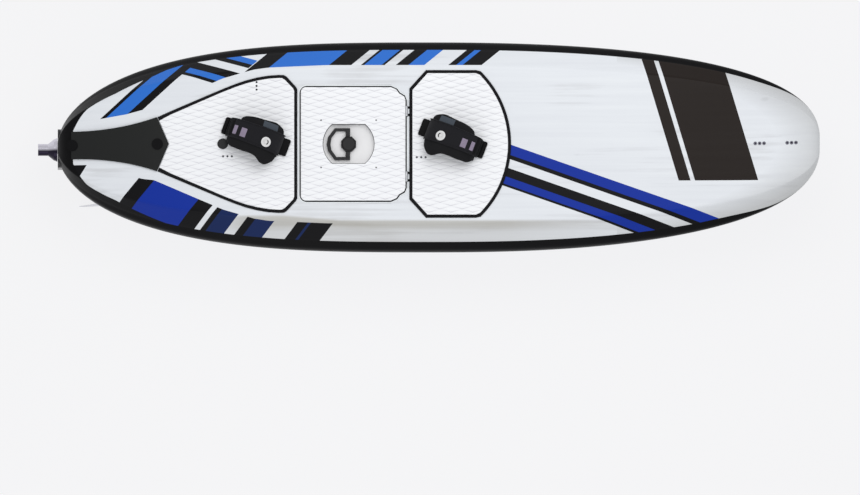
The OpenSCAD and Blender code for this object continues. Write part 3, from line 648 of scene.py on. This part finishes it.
def deck_paint():
    """White gelcoat with slanted bars on the shoulders, nose stripes and a black rail; painted
    glare lightens the port bars and painted shade darkens the starboard shoulder and the nose's
    edge.
    """
    paint = Paint("deck_paint", 0.34, specular=0.10)
    x, y, z = paint.axes()
    x, y = x * 1000, y * 1000
    slant = x - y * 1.1
    # Port bars use the lighter blue, a painted highlight of the port light's glare
    port, port_on = paint.bands(slant, -1300, 0, PORT_BARS)
    cross, cross_on = paint.bands(y + x * 0.31, -200, 200, CROSS_BARS)
    crossing = slant.above(-1037) * slant.below(-846)
    port = paint.mix(crossing, port, cross)
    port_on = port_on + cross_on * crossing
    starboard, starboard_on = paint.bands(x + y * -0.83, -1300, 0, STARBOARD_BARS)
    bars = paint.mix(y.above(0), starboard, port)
    bars_on = y.above(0) * port_on + y.below(0) * starboard_on
    across = y + (x - 262) * 0.352
    nose, nose_on = paint.bands(across, -260, 60, NOSE_STRIPES)
    streaks = paint.noise(70, (0.03, 1, 0.4), 4.0)
    cloud = paint.noise(3.2, (0.6, 1, 1), 4.0)
    clean = paint.mix(streaks * 0.5 + cloud * 0.35, WHITE, (206, 209, 216))
    wear = paint.noise(5.0, (0.35, 1, 1), 6.0, (3, 1, 0)) * 0.7 + streaks * 0.3
    clean = paint.mix(((wear - 0.56) * 4).clamp() * 0.6, clean, (140, 134, 128))
    spots = paint.noise(11, (0.35, 1, 1), 2.0, (7, 2, 0))
    clean = paint.mix(((spots - 0.66) * 7).clamp() * x.above(150) * 0.8, clean, (70, 74, 84))
    # Greyer towards the nose's rounded edge: an airbrushed fade, deepened as painted shade of the
    # rounding
    nose_edge_fade_and_shade = ((x / 1247) * (x / 1247) + (y / 345) * (y / 345) - 0.80).clamp() * 3.2
    clean = paint.mix((nose_edge_fade_and_shade * x.above(600)).clamp() * 0.6, clean, (150, 149, 144))
    # Painted shade: a beige-grey darkening on the starboard shoulder past the crease, mottled by
    # the wear noise
    crease = ((x + 463) * 0.0055).clamp() * 15 + 226
    starboard_shoulder_shade = ((y * -1 - crease) * 0.12).clamp() * (1 - ((y * -1 - 258) * 0.05).clamp() * 0.6)
    starboard_shoulder_shade = starboard_shoulder_shade * ((x + 700) * 0.008).clamp() * (1 - ((x - 250) * 0.0025).clamp())
    clean = paint.mix(starboard_shoulder_shade * (0.35 + wear * 0.5), clean, (164, 160, 148))
    lean = x + y * 0.30
    block = lean.above(762) * lean.below(1016) * y.above(-118) * x.above(150)
    block = block * (1 - lean.above(800) * lean.below(814))
    clean = paint.mix(block, clean, (34, 28, 25))
    edge = paint.attribute("edge")
    deck = paint.mix((edge.above(0) * bars_on).clamp(), clean, bars)
    deck = paint.mix(y.below(0) * x.above(150) * nose_on, deck, nose)
    notch = y.below(-63) * (x - y * 0.62).below(-1054.5)
    deck = paint.mix(notch, deck, BLACK)
    paint.base(paint.mix(paint.attribute("rail").above(0), deck, (7, 7, 9)))
    paint.rough(streaks * 0.15 + cloud * 0.2 + 0.2)
    return paint.material


def bottom_paint():
    """Lavender grey gelcoat with dark flecks drawn out along the board."""
    paint = Paint("bottom_paint", 0.4, specular=0.3)
    cloud = paint.noise(4.0, (0.5, 1, 1))
    specks = paint.noise(420.0, detail=2.0)
    flecks = paint.noise(30, (0.22, 1, 1), 3.0)
    tone = paint.mix(cloud, (160, 168, 196), (196, 199, 218))
    tone = paint.mix(((flecks - 0.63) * 9).clamp() * 0.85, tone, (40, 42, 66))
    paint.base(paint.mix(specks.above(0.68) * 0.6, tone, (80, 84, 104)))
    paint.rough(cloud * 0.2 + 0.3)
    return paint.material


# ---- Deck pads

CELL_X, CELL_Y = 0.070, 0.021
PILLOW = 1.5 * MM


def pillow(x, y):
    """Height of the diamond pattern at a point, from 0 in a groove to 1 on a crown."""
    u, v = x / CELL_X + y / CELL_Y, x / CELL_X - y / CELL_Y
    u, v = 2 * abs(u - round(u)), 2 * abs(v - round(v))
    return (1 - u ** 3) * (1 - v ** 3)


def edge_distance(x, y, plan):
    """Distance from a point to the nearest outer side of a convex half plan."""
    best = 1.0
    for (x0, y0), (x1, y1) in zip(plan, plan[1:]):
        length = math.hypot(x1 - x0, y1 - y0)
        best = min(best, abs((x - x0) * (y1 - y0) - (y - y0) * (x1 - x0)) / length)
    return best


def vertices_of(geometry):
    return [part for part in geometry if isinstance(part, bmesh.types.BMVert)]


def pad_sheet(name, plan, body, nodes, holes):
    """A foam pad with a raised diamond pattern.

    plan is the outline's port half from its aft end on the centreline to its front
    end; holes are closed outlines that go right through.
    """
    low_x, high_x = min(p[0] for p in plan), max(p[0] for p in plan)
    high_y = max(p[1] for p in plan)
    step_x, step_y = CELL_X / 20, CELL_Y / 12
    start = math.floor(low_x / step_x)
    columns = math.ceil(high_x / step_x) - start + 1
    rows = math.ceil(high_y / step_y) + 1
    points = [((start + i) * step_x, k * step_y, 0) for i in range(columns)
              for k in range(rows)]
    faces = [(i * rows + k, (i + 1) * rows + k, (i + 1) * rows + k + 1, i * rows + k + 1)
             for i in range(columns - 1) for k in range(rows - 1)]
    bm = bmesh.new()
    bm.from_mesh(mesh_from(name, points, faces))
    for (x0, y0), (x1, y1) in zip(plan, plan[1:]):
        bmesh.ops.bisect_plane(bm, geom=bm.verts[:] + bm.edges[:] + bm.faces[:], dist=1e-6,
                               plane_co=(x0, y0, 0), plane_no=(y0 - y1, x1 - x0, 0),
                               clear_outer=True)
    twin = bmesh.ops.duplicate(bm, geom=bm.verts[:] + bm.edges[:] + bm.faces[:])["geom"]
    for vertex in vertices_of(twin):
        vertex.co.y = -vertex.co.y
    bmesh.ops.remove_doubles(bm, verts=bm.verts, dist=2e-5)
    for vertex in bm.verts:
        x, y = vertex.co.x, vertex.co.y
        inside = edge_distance(x, abs(y), plan)
        rim = max(0.0, 1 - inside / (1.6 * MM)) ** 2
        lift = PAD_TOP - DECK_Z - PILLOW * (1 - pillow(x, y)) - 1.1 * MM * rim
        vertex.co.z = deck_line(x) + lift
    rim_edges = [edge for edge in bm.edges if len(edge.link_faces) == 1]
    skirt = bmesh.ops.extrude_edge_only(bm, edges=rim_edges)["geom"]
    for vertex in vertices_of(skirt):
        vertex.co.z = deck_line(vertex.co.x) + 2.35 * MM
    bottom_edges = [edge for edge in bm.edges if len(edge.link_faces) == 1]
    bmesh.ops.contextual_create(bm, geom=bottom_edges)
    bmesh.ops.recalc_face_normals(bm, faces=bm.faces)
    mesh = bpy.data.meshes.new(name)
    bm.to_mesh(mesh)
    bm.free()
    piece = new_object(name, mesh, body, nodes)
    carve(piece, [prism(hole, DECK_Z - 0.06, DECK_Z + 0.06) for hole in holes])
    sharpen(piece, 50)
    dress(piece, pad_paint(name + "_foam"))


def pad_paint(name):
    """White foam with painted shade in the grooves and on each diamond's lower side, and a fine
    open grain.
    """
    paint = Paint(name, 0.72, specular=0.3)
    x, y, z = paint.axes()
    u = x / CELL_X + y / CELL_Y
    v = x / CELL_X - y / CELL_Y
    across_u = (u + 0.5).make("FRACT") * 2 - 1
    across_v = (v + 0.5).make("FRACT") * 2 - 1
    # Painted shade: grey in the grooves and on the lower side of each diamond, away from the
    # light
    groove_shade = across_u.absolute().make("MAXIMUM", across_v.absolute())
    groove_shade = ((groove_shade - 0.74) * 3.8).clamp()
    shade = ((across_v - across_u) * 0.5 - 0.1).clamp()
    groove_shade = groove_shade * (shade * 0.9 + 0.12) + shade * 0.12
    grain = paint.noise(900.0)
    tone = paint.noise(5.0)
    foam_tone = paint.mix(tone * 0.5 + grain * 0.3, (245, 247, 248), (232, 233, 238))
    paint.base(paint.mix(groove_shade.clamp(), foam_tone, (176, 174, 184)))
    paint.bump(grain, 0.0002)
    return paint.material


BORDER = 10 * MM              # black base left bare round a pad
PAD_SEAM = 2.4 * MM           # dark lid left bare round the hatch pad
PAD_HOLE = 3.4 * MM           # radius of the holes over the inserts


def build_pads():
    """The three pads, each with its own outline and openings."""
    front_x = corners("front_pad_base")[0].x
    spots = insert_spots()
    rear_half = [(-0.8302, 0.0), (-0.8617, 0.075), (-0.826, 0.094), (-0.660, 0.166),
                 (-0.620, 0.182), (-0.585, 0.194), (-0.550, 0.203), (-0.515, 0.209),
                 (-0.480, 0.2115), (-0.470, 0.211), (-0.461, 0.206), (-0.434, 0.178),
                 (-0.431, 0.170), (-0.431, 0.0)]
    holes = [circle_points(spot, PAD_HOLE, 14) for spot in spots[:6]]
    holes.append(circle_points((VENT_X, 0), 0.0172, 40))
    pad_sheet("rear_pad_top", rear_half, "board", ["rear_pad"], holes)
    arc = [(-0.067 + 0.319 * math.cos(a), 0.319 * math.sin(a))
           for a in (PI / 180 * d for d in range(44, -1, -4))]
    front_half = [(front_x + BORDER, 0.0), (front_x + BORDER, 0.173), (-0.005, 0.227),
                  (0.150, 0.227)] + [p for p in arc if p[0] > 0.155]
    holes = [circle_points(spot, PAD_HOLE, 14) for spot in spots[6:9]]
    pad_sheet("front_pad_top", front_half, "board", ["front_pad"], holes)
    tray = [(HUB_X + x, y) for x, y in barrel_plan(1.8 * MM)]
    pad_sheet("hatch_pad_top", hatch_outline_half(PAD_SEAM), "hatch", ["hatch_pad"],
              [tray] + corner_holes() + screw_holes())


def barrel_plan(grow, radius=0.081, half=0.062):
    """Outline of the latch tray: a circle with two flat sides."""
    r, h = radius + grow, half + grow
    lean = math.asin(h / r)
    return ([(r * math.cos(a), r * math.sin(a)) for a in spread_angles(-lean, lean)]
            + [(r * math.cos(a), r * math.sin(a)) for a in spread_angles(PI - lean, PI + lean)])


def spread_angles(start, end, count=24):
    return [start + (end - start) * k / count for k in range(count + 1)]


def hatch_outline_half(inset):
    """Convex port half of the lid's outline, without the scalloped corner."""
    half_l, half_w, r = HATCH_L / 2 - inset, HATCH_W / 2 - inset, 0.016
    turn = [(-half_l + r - r * math.cos(a), half_w - r + r * math.sin(a))
            for a in spread_angles(0, PI / 2, 6)]
    return [(HATCH_X + x, y) for x, y in
            [(-half_l, 0.0)] + turn + [(half_l - r, half_w), (half_l, half_w - r),
                                       (half_l, 0.0)]]


def corner_holes():
    """Closed outlines that cut the pad back at the scalloped corners."""
    cuts = []
    for side in (-1, 1):
        line = [(x - 0.67 * PAD_SEAM, y - 0.74 * PAD_SEAM) for x, y in CORNER_LINE]
        line += [(0.23, 0.134), (0.23, 0.23), (0.112, 0.23)]
        cuts.append([(HATCH_X + x, side * y) for x, y in line])
    return cuts


def screw_holes():
    """Small access holes over the heads of the tray's four screws."""
    low, high = corners("latch_screws")
    head = 4 * MM
    return [circle_points((x, y), 2.6 * MM, 14) for x in (low.x + head, high.x - head)
            for y in (low.y + head, high.y - head)]


def build_tray_seal():
    """A thin dark gasket between the latch tray and the pad."""
    inner, outer = barrel_plan(0.1 * MM), barrel_plan(1.7 * MM)
    heights = (DECK_Z + 0.1 * MM, DECK_Z + 3.6 * MM)
    rings = []
    for plan, z in ((inner, heights[0]), (outer, heights[0]), (outer, heights[1]),
                    (inner, heights[1]), (inner, heights[0])):
        rings.append([(HUB_X + x, y, z) for x, y in plan])
    piece = new_object("tray_gasket", outward(loft("tray_gasket", rings, caps=False)), "hatch")
    sharpen(piece, 40)
    dress(piece, rubber("gasket_rubber", (34, 34, 37)))


def build_bail_lugs():
    """Wide lugs that take the bail's arms in to the hub, along its pivot axis."""
    pivot_x, pivot_z = (JOINTS["bail_fold"]["pos_m"][i] for i in (0, 2))
    aft, fore = pivot_x - 9.5 * MM, pivot_x + 5 * MM
    inner, outer = 24.8 * MM, 45 * MM
    lugs = []
    for y0, y1 in ((inner, outer), (-outer, -inner)):
        plan = [(aft, y0), (fore, y0), (fore, y1), (aft, y1)]
        lugs.append(slab(plan, pivot_z - 3.9 * MM, pivot_z + 3.9 * MM, 1.2 * MM))
    piece = new_object("bail_lugs", joined(lugs, "bail_lugs"), "bail")
    sharpen(piece, 40)
    dress(piece, plastic("lug_plastic", (20, 20, 23), 0.4))


# ---- Foot straps

STRAP_SPAN = 0.082            # half the arch's length along the strap
STRAP_RISE = 0.056
ARCH_LIFT = 1.5 * MM          # how far the whole arch stands above the pad
PAD_CLEAR = 0.6 * MM          # least height of the padding above the pad
CLOTH_FRAMES = 20
STRAP_UPPER = [(-1.0, 0.022), (-0.84, 0.022), (-0.73, 0.030), (-0.62, 0.043), (-0.4, 0.051),
               (-0.1, 0.056), (0.3, 0.060), (0.57, 0.0605), (0.8, 0.054), (0.93, 0.047),
               (0.98, 0.037), (1.0, 0.036)]
STRAP_LOWER = [(-1.0, -0.045), (-0.82, -0.059), (-0.55, -0.063), (-0.25, -0.065),
               (0.05, -0.065), (0.2, -0.069), (0.38, -0.078), (0.55, -0.081),
               (0.72, -0.078), (0.92, -0.062), (0.98, -0.044), (1.0, -0.040)]


def smooth_between(points, at):
    """Value at a place on a smooth curve through the points."""
    last = len(points) - 1
    slopes = [(points[min(k + 1, last)][1] - points[max(k - 1, 0)][1])
              / (points[min(k + 1, last)][0] - points[max(k - 1, 0)][0])
              for k in range(last + 1)]
    for k in range(last):
        (x0, y0), (x1, y1) = points[k], points[k + 1]
        if at <= x1:
            run = x1 - x0
            t = min(1.0, max(0.0, (at - x0) / run))
            return ((2 * t ** 3 - 3 * t * t + 1) * y0 + (t ** 3 - 2 * t * t + t) * run * slopes[k]
                    + (3 * t * t - 2 * t ** 3) * y1 + (t ** 3 - t * t) * run * slopes[k + 1])
    return points[-1][1]


def arch_place(angle, offset):
    """Place along the strap and height above the pad, offset outwards from the arch."""
    def place(a):
        c, s = math.cos(a), math.sin(a)
        return Vector((-STRAP_SPAN * math.copysign(abs(c) ** 0.8, c),
                       STRAP_RISE * max(0.0, s) ** 0.75))
    here = place(angle)
    ahead, behind = place(min(PI, angle + 0.01)), place(max(0.0, angle - 0.01))
    run = (ahead - behind).normalized()
    return here + Vector((-run.y, run.x)) * offset


def puff(piece, cap):
    """Swell a padded piece with a short cloth run; no point moves further than the cap."""
    before = [vertex.co.copy() for vertex in piece.data.vertices]
    cloth = piece.modifiers.new("cloth", "CLOTH")
    cloth.settings.quality = 6
    cloth.settings.mass = 0.3
    cloth.settings.use_pressure = True
    cloth.settings.uniform_pressure_force = 4
    cloth.settings.effector_weights.gravity = 0
    cloth.point_cache.frame_start, cloth.point_cache.frame_end = 1, CLOTH_FRAMES
    scene = bpy.context.scene
    for frame_number in range(1, CLOTH_FRAMES + 1):
        scene.frame_set(frame_number)
    view = bpy.context.evaluated_depsgraph_get()
    swollen = [vertex.co.copy() for vertex in piece.evaluated_get(view).data.vertices]
    piece.modifiers.remove(cloth)
    for vertex, old, new in zip(piece.data.vertices, before, swollen):
        step = new - old
        vertex.co = old + step * min(1.0, cap / max(step.length, 1e-6))
        vertex.co.z = max(vertex.co.z, PAD_CLEAR)
    scene.frame_set(1)
    finer = piece.modifiers.new("finer", "SUBSURF")
    finer.levels = finer.render_levels = 1
    apply_modifiers(piece)
    shade_smooth(piece)


def lay_on(patch, under, thick):
    """Lay a thin patch on a padded surface below it, following its swell."""
    tree = BVHTree.FromPolygons([v.co for v in under.data.vertices],
                                [tuple(f.vertices) for f in under.data.polygons])
    middle = Vector((0, 0, STRAP_RISE * 0.4))
    for vertex in patch.data.vertices:
        out = Vector((vertex.co.x - middle.x, 0, vertex.co.z - middle.z)).normalized()
        high = vertex.co.dot(out) > 0 and vertex.normal.dot(out) > 0
        hit = tree.ray_cast(vertex.co + out * 30 * MM, -out)[0]
        if hit:
            vertex.co = hit + out * (thick if high else -0.5 * MM)


def strap_frame(centre, degrees, hand):
    """Matrix from a strap's own axes to the row frame; hand is -1 for the mirrored strap."""
    return (Matrix.Translation((centre[0], centre[1], PAD_TOP))
            @ Matrix.Rotation(math.radians(degrees), 4, "Z")
            @ Matrix.Diagonal((hand, 1, 1, 1)))


def put(mesh, frame_of):
    """Move a mesh into the row frame and keep its faces outward when mirrored."""
    mesh.transform(frame_of)
    if frame_of.determinant() < 0:
        mesh.flip_normals()


def sweep_arch(name, section, start, end, steps, around):
    """A closed band over the arch; section gives the place across and the lift."""
    rings = []
    for i in range(steps + 1):
        angle = start + (end - start) * i / steps
        ring = []
        for k in range(around):
            turn = 2 * PI * k / around
            across, lift = section(i, -math.cos(angle), math.cos(turn), math.sin(turn))
            spot = arch_place(angle, lift)
            ring.append((spot.x, across, max(PAD_CLEAR, spot.y + ARCH_LIFT)))
        rings.append(ring)
    return outward(loft(name, rings))


def band_mesh(name, low, high, offset, thick, start=0.0, end=PI, steps=40, around=20):
    """A padded band over the arch, between two side curves, with rounded edges."""
    def section(i, place, c, s):
        lower, upper = low(place), high(place)
        fade = min(1.0, 0.55 + 4 * min(i, steps - i) / steps)
        across = (lower + upper) / 2 + (upper - lower) / 2 * math.copysign(abs(c) ** 0.6, c)
        return across, offset + thick / 2 * math.copysign(abs(s) ** 0.8, s) * fade
    return sweep_arch(name, section, start, end, steps, around)


def edge_tube(name, side, offset, radius, start, end):
    """A round binding along one side of the band."""
    def section(i, place, c, s):
        return side(place) + radius * c, offset + radius * s
    return sweep_arch(name, section, start, end, 40, 8)


def bevelled(mesh, width):
    """A mesh with its sharp edges rounded."""
    with editing(mesh) as bm:
        edges = [e for e in bm.edges if len(e.link_faces) == 2
                 and e.calc_face_angle(0) > SHARP]
        bmesh.ops.bevel(bm, geom=edges, offset=width, segments=3, profile=0.6,
                        affect="EDGES", clamp_overlap=True)
    return mesh


def slab(plan, low, high, round_by):
    """A flat block on a plan outline with rounded edges."""
    return bevelled(prism(plan, low, high), round_by)


def patch_on_arch(name, place, across, length, width, offset, thick):
    """A small flat patch that follows the arch, centred at a place along the strap."""
    middle = math.acos(max(-1.0, min(1.0, -place / STRAP_SPAN)))
    half = length / 2 / STRAP_SPAN / max(0.35, math.sin(middle))
    return band_mesh(name, lambda p: across - width / 2, lambda p: across + width / 2,
                     offset, thick, middle - half, middle + half, 8, 12)


def build_strap(label, centre, degrees, hand):
    """One foot strap: padded liner, cover with bindings, patches and a button; gives back its
    frame for the end tabs.
    """
    frame_of = strap_frame(centre, degrees, hand)
    nodes = [label + "_strap_liner", label + "_strap_cover"]

    def upper(p):
        return smooth_between(STRAP_UPPER, p)

    def lower(p):
        return smooth_between(STRAP_LOWER, p)

    def cover_upper(p):
        return 0.030 + 0.002 * p

    def cover_lower(p):
        return -0.032 - 0.002 * p

    liner = band_mesh(label + "_strap_padding", lower, upper, 0.0,
                      (6.5) * MM, steps=60, around=28)
    liner = new_object(label + "_strap_padding", liner, "board", [nodes[0]])
    puff(liner, 2.4 * MM)
    dress(liner, strap_paint(label + "_neoprene", (13, 13, 15), 0.0022))
    reach = (0.1, PI - 0.22)
    cover = joined([band_mesh("band", cover_lower, cover_upper, 7 * MM, 5 * MM, *reach),
                    edge_tube("low", cover_lower, 8.2 * MM, 2.2 * MM, *reach),
                    edge_tube("high", cover_upper, 8.2 * MM, 2.2 * MM, *reach)],
                   label + "_strap_band")
    cover = new_object(label + "_strap_band", cover, "board", [nodes[1]])
    dress(cover, fabric(label + "_weave", (31, 31, 35)))
    light = joined([patch_on_arch("p", *spot, 0.029, 10.4 * MM, 2 * MM) for spot in
                    ((-0.0575, -0.006, 0.011), (-0.0305, -0.007, 0.017))],
                   label + "_strap_patches")
    light = new_object(label + "_strap_patches", light, "board")
    dress(light, fabric(label + "_patch_cloth", (160, 148, 170), 0.0012))
    grey = patch_on_arch(label + "_strap_wing_patch", 0.033, 0.0435, 0.048, 0.019,
                         4.6 * MM, 1.6 * MM)
    grey = new_object(label + "_strap_wing_patch", grey, "board")
    lay_on(grey, liner, 1.2 * MM)
    dress(grey, fabric(label + "_wing_cloth", (78, 86, 95), 0.0012))
    button = button_mesh(label + "_strap_button")
    button = new_object(label + "_strap_button", button, "board")
    dress(button, plastic(label + "_button_white", (226, 226, 226), 0.3, coat=0.3))
    for piece in (liner, cover, light, grey, button):
        put(piece.data, frame_of)
        sharpen(piece, 60)
    return frame_of


def button_mesh(name):
    """A round button on the arch with a raised rim and a turned middle."""
    profile = [(0.0, 2.4), (0.0045, 2.2), (0.0055, -0.4), (0.0085, -0.4), (0.0098, 2.6),
               (0.0145, 2.6), (0.016, 1.6), (0.016, -0.6)]
    spot = arch_place(PI - math.acos(0.031 / STRAP_SPAN), 8.6 * MM)
    lean, across = -0.34, -0.011
    rings = []
    for r, z in profile:
        ring = []
        for k in range(40):
            a = 2 * PI * k / 40
            u, v, w = max(r, 0.0002) * math.cos(a), r * math.sin(a), z * MM
            ring.append((spot.x + u * math.cos(lean) + w * math.sin(lean),
                         across + v, spot.y + 3 * MM + u * math.sin(lean) + w * math.cos(lean)))
        rings.append(ring)
    return outward(loft(name, rings))


def tab_meshes(frame_of):
    """The strap's two ends: a ribbed one and a smooth one, each with a folded edge."""
    parts = []
    for middle, length in ((-0.096, 0.026), (0.0955, 0.032)):
        plan = rounded_rect((middle, 0.0), length, 0.056, 0.006, 4)
        parts.append(slab(plan, 0.5 * MM, 7 * MM, 1.4 * MM))
        if middle < 0:
            for k in (-1, 1):
                rib = rounded_rect((middle + k * 0.0055, 0.0), 0.0078, 0.053, 0.003, 4)
                parts.append(slab(rib, 6 * MM, 10 * MM, 1.2 * MM))
            for start in (0.03, 0.34):
                parts.append(band_mesh("fold", lambda p: -0.029, lambda p: 0.029, 8.6 * MM,
                                       9 * MM, start, start + 0.27, 6))
        else:
            lid = rounded_rect((middle - 0.001, 0.0), 0.027, 0.050, 0.005, 4)
            parts.append(slab(lid, 6 * MM, 8.6 * MM, 1.2 * MM))
    whole = joined(parts, "tabs")
    put(whole, frame_of)
    return whole


def strap_paint(name, rgb, pitch):
    """Dark neoprene with a knitted face and soft wear."""
    paint = Paint(name, 0.8, specular=0.2)
    knit = paint.noise(1 / pitch, (1, 1, 1), 1.0)
    tone = paint.noise(22.0)
    paint.base(paint.mix(tone, rgb, tuple(int(c * 1.5) for c in rgb)))
    paint.bump(knit, 0.0003)
    return paint.material


def build_straps():
    """Both foot straps: the front one is the rear one's mirror image."""
    places = {"rear": ((-0.554, 0.023), -20.3, 1), "front": ((0.077, 0.016), -21.0, -1)}
    tabs = [tab_meshes(build_strap(label, *spot)) for label, spot in places.items()]
    tabs = new_object("strap_end_tabs", joined(tabs, "strap_end_tabs"), "board",
                      ["strap_tabs"])
    sharpen(tabs, 50)
    dress(tabs, rubber("tab_rubber", (13, 13, 15)))


# ---- CAD nodes carried over

def well_paint():
    """Black moulding whose rim, level with the deck, is painted white with it."""
    paint = Paint("well_plastic", 0.45, specular=0.3)
    x, y, z = paint.axes()
    tone = paint.noise(9.0)
    dark = paint.mix(tone, (20, 20, 23), (30, 30, 33))
    light = paint.mix(tone, (222, 226, 229), WHITE)
    paint.base(paint.mix(z.above(DECK_Z - 0.4 * MM), dark, light))
    return paint.material


def nozzle_paint():
    """Polished metal with a painted reflection: light on the port side, dark on the starboard
    side.
    """
    paint = Paint("nozzle_chrome", 0.18, metallic=1.0)
    x, y, z = paint.axes()
    # Painted reflection: the base colour turns dark towards starboard
    shade = ((y * -1 + 2 * MM) * 125).clamp()
    paint.base(paint.mix(shade, (208, 206, 216), (40, 36, 50)))
    paint.bump(paint.noise(60), 0.00005)
    return paint.material


BLACK_NODES = "vent_plug latch_hub bolt_guides battery_top battery_socket fin_boxes"
GREY_NODES = "drive_bay battery_case intake_duct"
STEEL_NODES = """hinge_deck_leaves hinge_pins hinge_lid_leaves latch_scroll scroll_nut port_bolt
    starboard_bolt motor_bearings shaft_coupling drive_shaft intake_grate fin_screws"""
ALLOY_NODES = "controller_box motor_case guide_vanes pump_housing"


def dress_nodes():
    """Give every CAD node that is still shown a material for what it is made of."""
    black = plastic("black_plastic", (24, 24, 27))
    grey = plastic("grey_plastic", (88, 91, 97))
    steel = metal("steel", (196, 198, 202))
    alloy = metal("alloy", (150, 152, 158), 0.42, stretch=(1, 1, 1))
    bronze = metal("bronze", (190, 150, 88), 0.3, 200, (1, 1, 1))
    dark_steel = metal("insert_steel", (104, 103, 114), 0.4)
    copper = metal("copper", (196, 120, 70), 0.35, 900, (0.05, 1, 1))
    orange = plastic("cable_jacket", (222, 104, 24), 0.4)
    made_of = {
        "foam_core": foam("core_foam", (238, 232, 212)),
        "battery_well": well_paint(), "well_seal": rubber("seal", (30, 30, 32)),
        "tail_cover": plastic("cover_plastic", (9, 12, 11), 0.42, 500, 0.00005),
        "cover_knobs": rubber("knob_rubber", (7, 7, 9)),
        "rear_pad_base": rubber("pad_base_rear", (17, 17, 20)),
        "front_pad_base": rubber("pad_base_front", (17, 17, 20)),
        "hatch_lid": plastic("lid_plastic", (22, 22, 25)),
        "latch_tray": plastic("tray_white", (238, 238, 239), 0.3, coat=0.3),
        "latch_screws": metal("screw_steel", (70, 70, 74)),
        "hub_cap": plastic("hub_plastic", (20, 19, 21), 0.45),
        "latch_bail": plastic("bail_plastic", (20, 20, 23), 0.4),
        "cell_blocks": plastic("cell_wrap", (36, 92, 160), 0.3),
        "battery_handle": fabric("handle_webbing", (216, 86, 24)),
        "power_cable": orange, "phase_cables": orange, "motor_stator": copper,
        "motor_rotor": metal("rotor_iron", (96, 96, 100), 0.5),
        "shaft_seal": rubber("shaft_rubber", (28, 28, 30)), "impeller": bronze,
        "jet_housing": plastic("housing_black", (30, 30, 33), 0.3, coat=0.3),
        "jet_fairing": plastic("fairing_tan", (104, 90, 74), 0.35, 300, 0.00004, 0.25),
        "nozzle": nozzle_paint(),
        "fins": plastic("fin_grey", (202, 203, 212), 0.28, 200, 0.00003, 0.4),
        "deck_inserts": dark_steel,
    }
    for material, names in ((black, BLACK_NODES), (grey, GREY_NODES), (steel, STEEL_NODES),
                            (alloy, ALLOY_NODES)):
        made_of.update(dict.fromkeys(names.split(), material))
    spare = plastic("spare_plastic", (120, 120, 126))
    for name, node in frame["nodes"].items():
        if not node.hide_render:
            dress(node, made_of.get(name, spare))


# ---- Stage

VIEW_TILT = math.radians(6)
VIEW_CENTRE = -0.2956         # along the view's up axis, so the board is in the upper half
FLOOR_HALF = 60
PALE = (0.93, 0.93, 0.94, 1)


def build_camera():
    """A camera without perspective that looks down on the deck, leaning to starboard."""
    up = Vector((0, math.cos(VIEW_TILT), math.sin(VIEW_TILT)))
    back = Vector((0, -math.sin(VIEW_TILT), math.cos(VIEW_TILT)))
    right = Vector((1, 0, 0))
    data = bpy.data.cameras.new("camera")
    data.type = "ORTHO"
    data.ortho_scale = 2.747
    data.clip_end = 40
    camera = bpy.data.objects.new("camera", data)
    bpy.context.scene.collection.objects.link(camera)
    turn = Matrix((right, up, back)).transposed().to_4x4()
    place = right * 0.003 + up * VIEW_CENTRE + back * 4
    camera.matrix_world = Matrix.Translation(place) @ turn
    bpy.context.scene.camera = camera


def build_floor():
    """A plain pale floor with only a faint shadow."""
    spots = [(x * FLOOR_HALF, y * FLOOR_HALF, 0) for x, y in
             ((-1, -1), (1, -1), (1, 1), (-1, 1))]
    mesh = mesh_from("floor", spots, [(0, 1, 2, 3)])
    floor = bpy.data.objects.new("floor", mesh)
    bpy.context.scene.collection.objects.link(floor)
    material = bpy.data.materials.new("floor")
    material.use_nodes = True
    tree = material.node_tree
    tree.nodes.clear()
    glow = tree.nodes.new("ShaderNodeEmission")
    glow.inputs[0].default_value = PALE
    matte = tree.nodes.new("ShaderNodeBsdfDiffuse")
    matte.inputs[0].default_value = (0.8, 0.8, 0.82, 1)
    share = tree.nodes.new("ShaderNodeMixShader")
    share.inputs[0].default_value = 0.12
    output = tree.nodes.new("ShaderNodeOutputMaterial")
    tree.links.new(glow.outputs[0], share.inputs[1])
    tree.links.new(matte.outputs[0], share.inputs[2])
    tree.links.new(share.outputs[0], output.inputs["Surface"])
    mesh.materials.append(material)


def area_light(name, place, aim, size, power):
    """A round soft light that the camera does not see."""
    data = bpy.data.lights.new(name, "AREA")
    data.shape = "DISK"
    data.size = size
    data.energy = power
    light = bpy.data.objects.new(name, data)
    bpy.context.scene.collection.objects.link(light)
    light.location = place
    light.rotation_euler = (Vector(aim) - Vector(place)).to_track_quat("-Z", "Y").to_euler()
    light.visible_camera = False


def build_light():
    """Soft even daylight from all round with a broad key light over the port side."""
    world = bpy.data.worlds.new("studio")
    world.use_nodes = True
    sky = world.node_tree.nodes["Background"]
    sky.inputs[0].default_value = PALE
    rays = world.node_tree.nodes.new("ShaderNodeLightPath")
    strength = Val(world.node_tree, rays.outputs["Is Camera Ray"]) * 0.17 + 0.80
    world.node_tree.links.new(strength.out, sky.inputs[1])
    bpy.context.scene.world = world
    area_light("key", (0.5, 1.3, 3.4), (0, 0, 0.3), 2.8, 41)
    area_light("fill", (-0.8, -3.0, 2.0), (0, 0, 0.3), 2.4, 12)
    bpy.context.scene.view_settings.view_transform = "Standard"


# ---- Scene

build_hull()
build_pads()
build_tray_seal()
build_straps()
build_bail_lugs()
dress_nodes()
build_floor()
build_light()
build_camera()
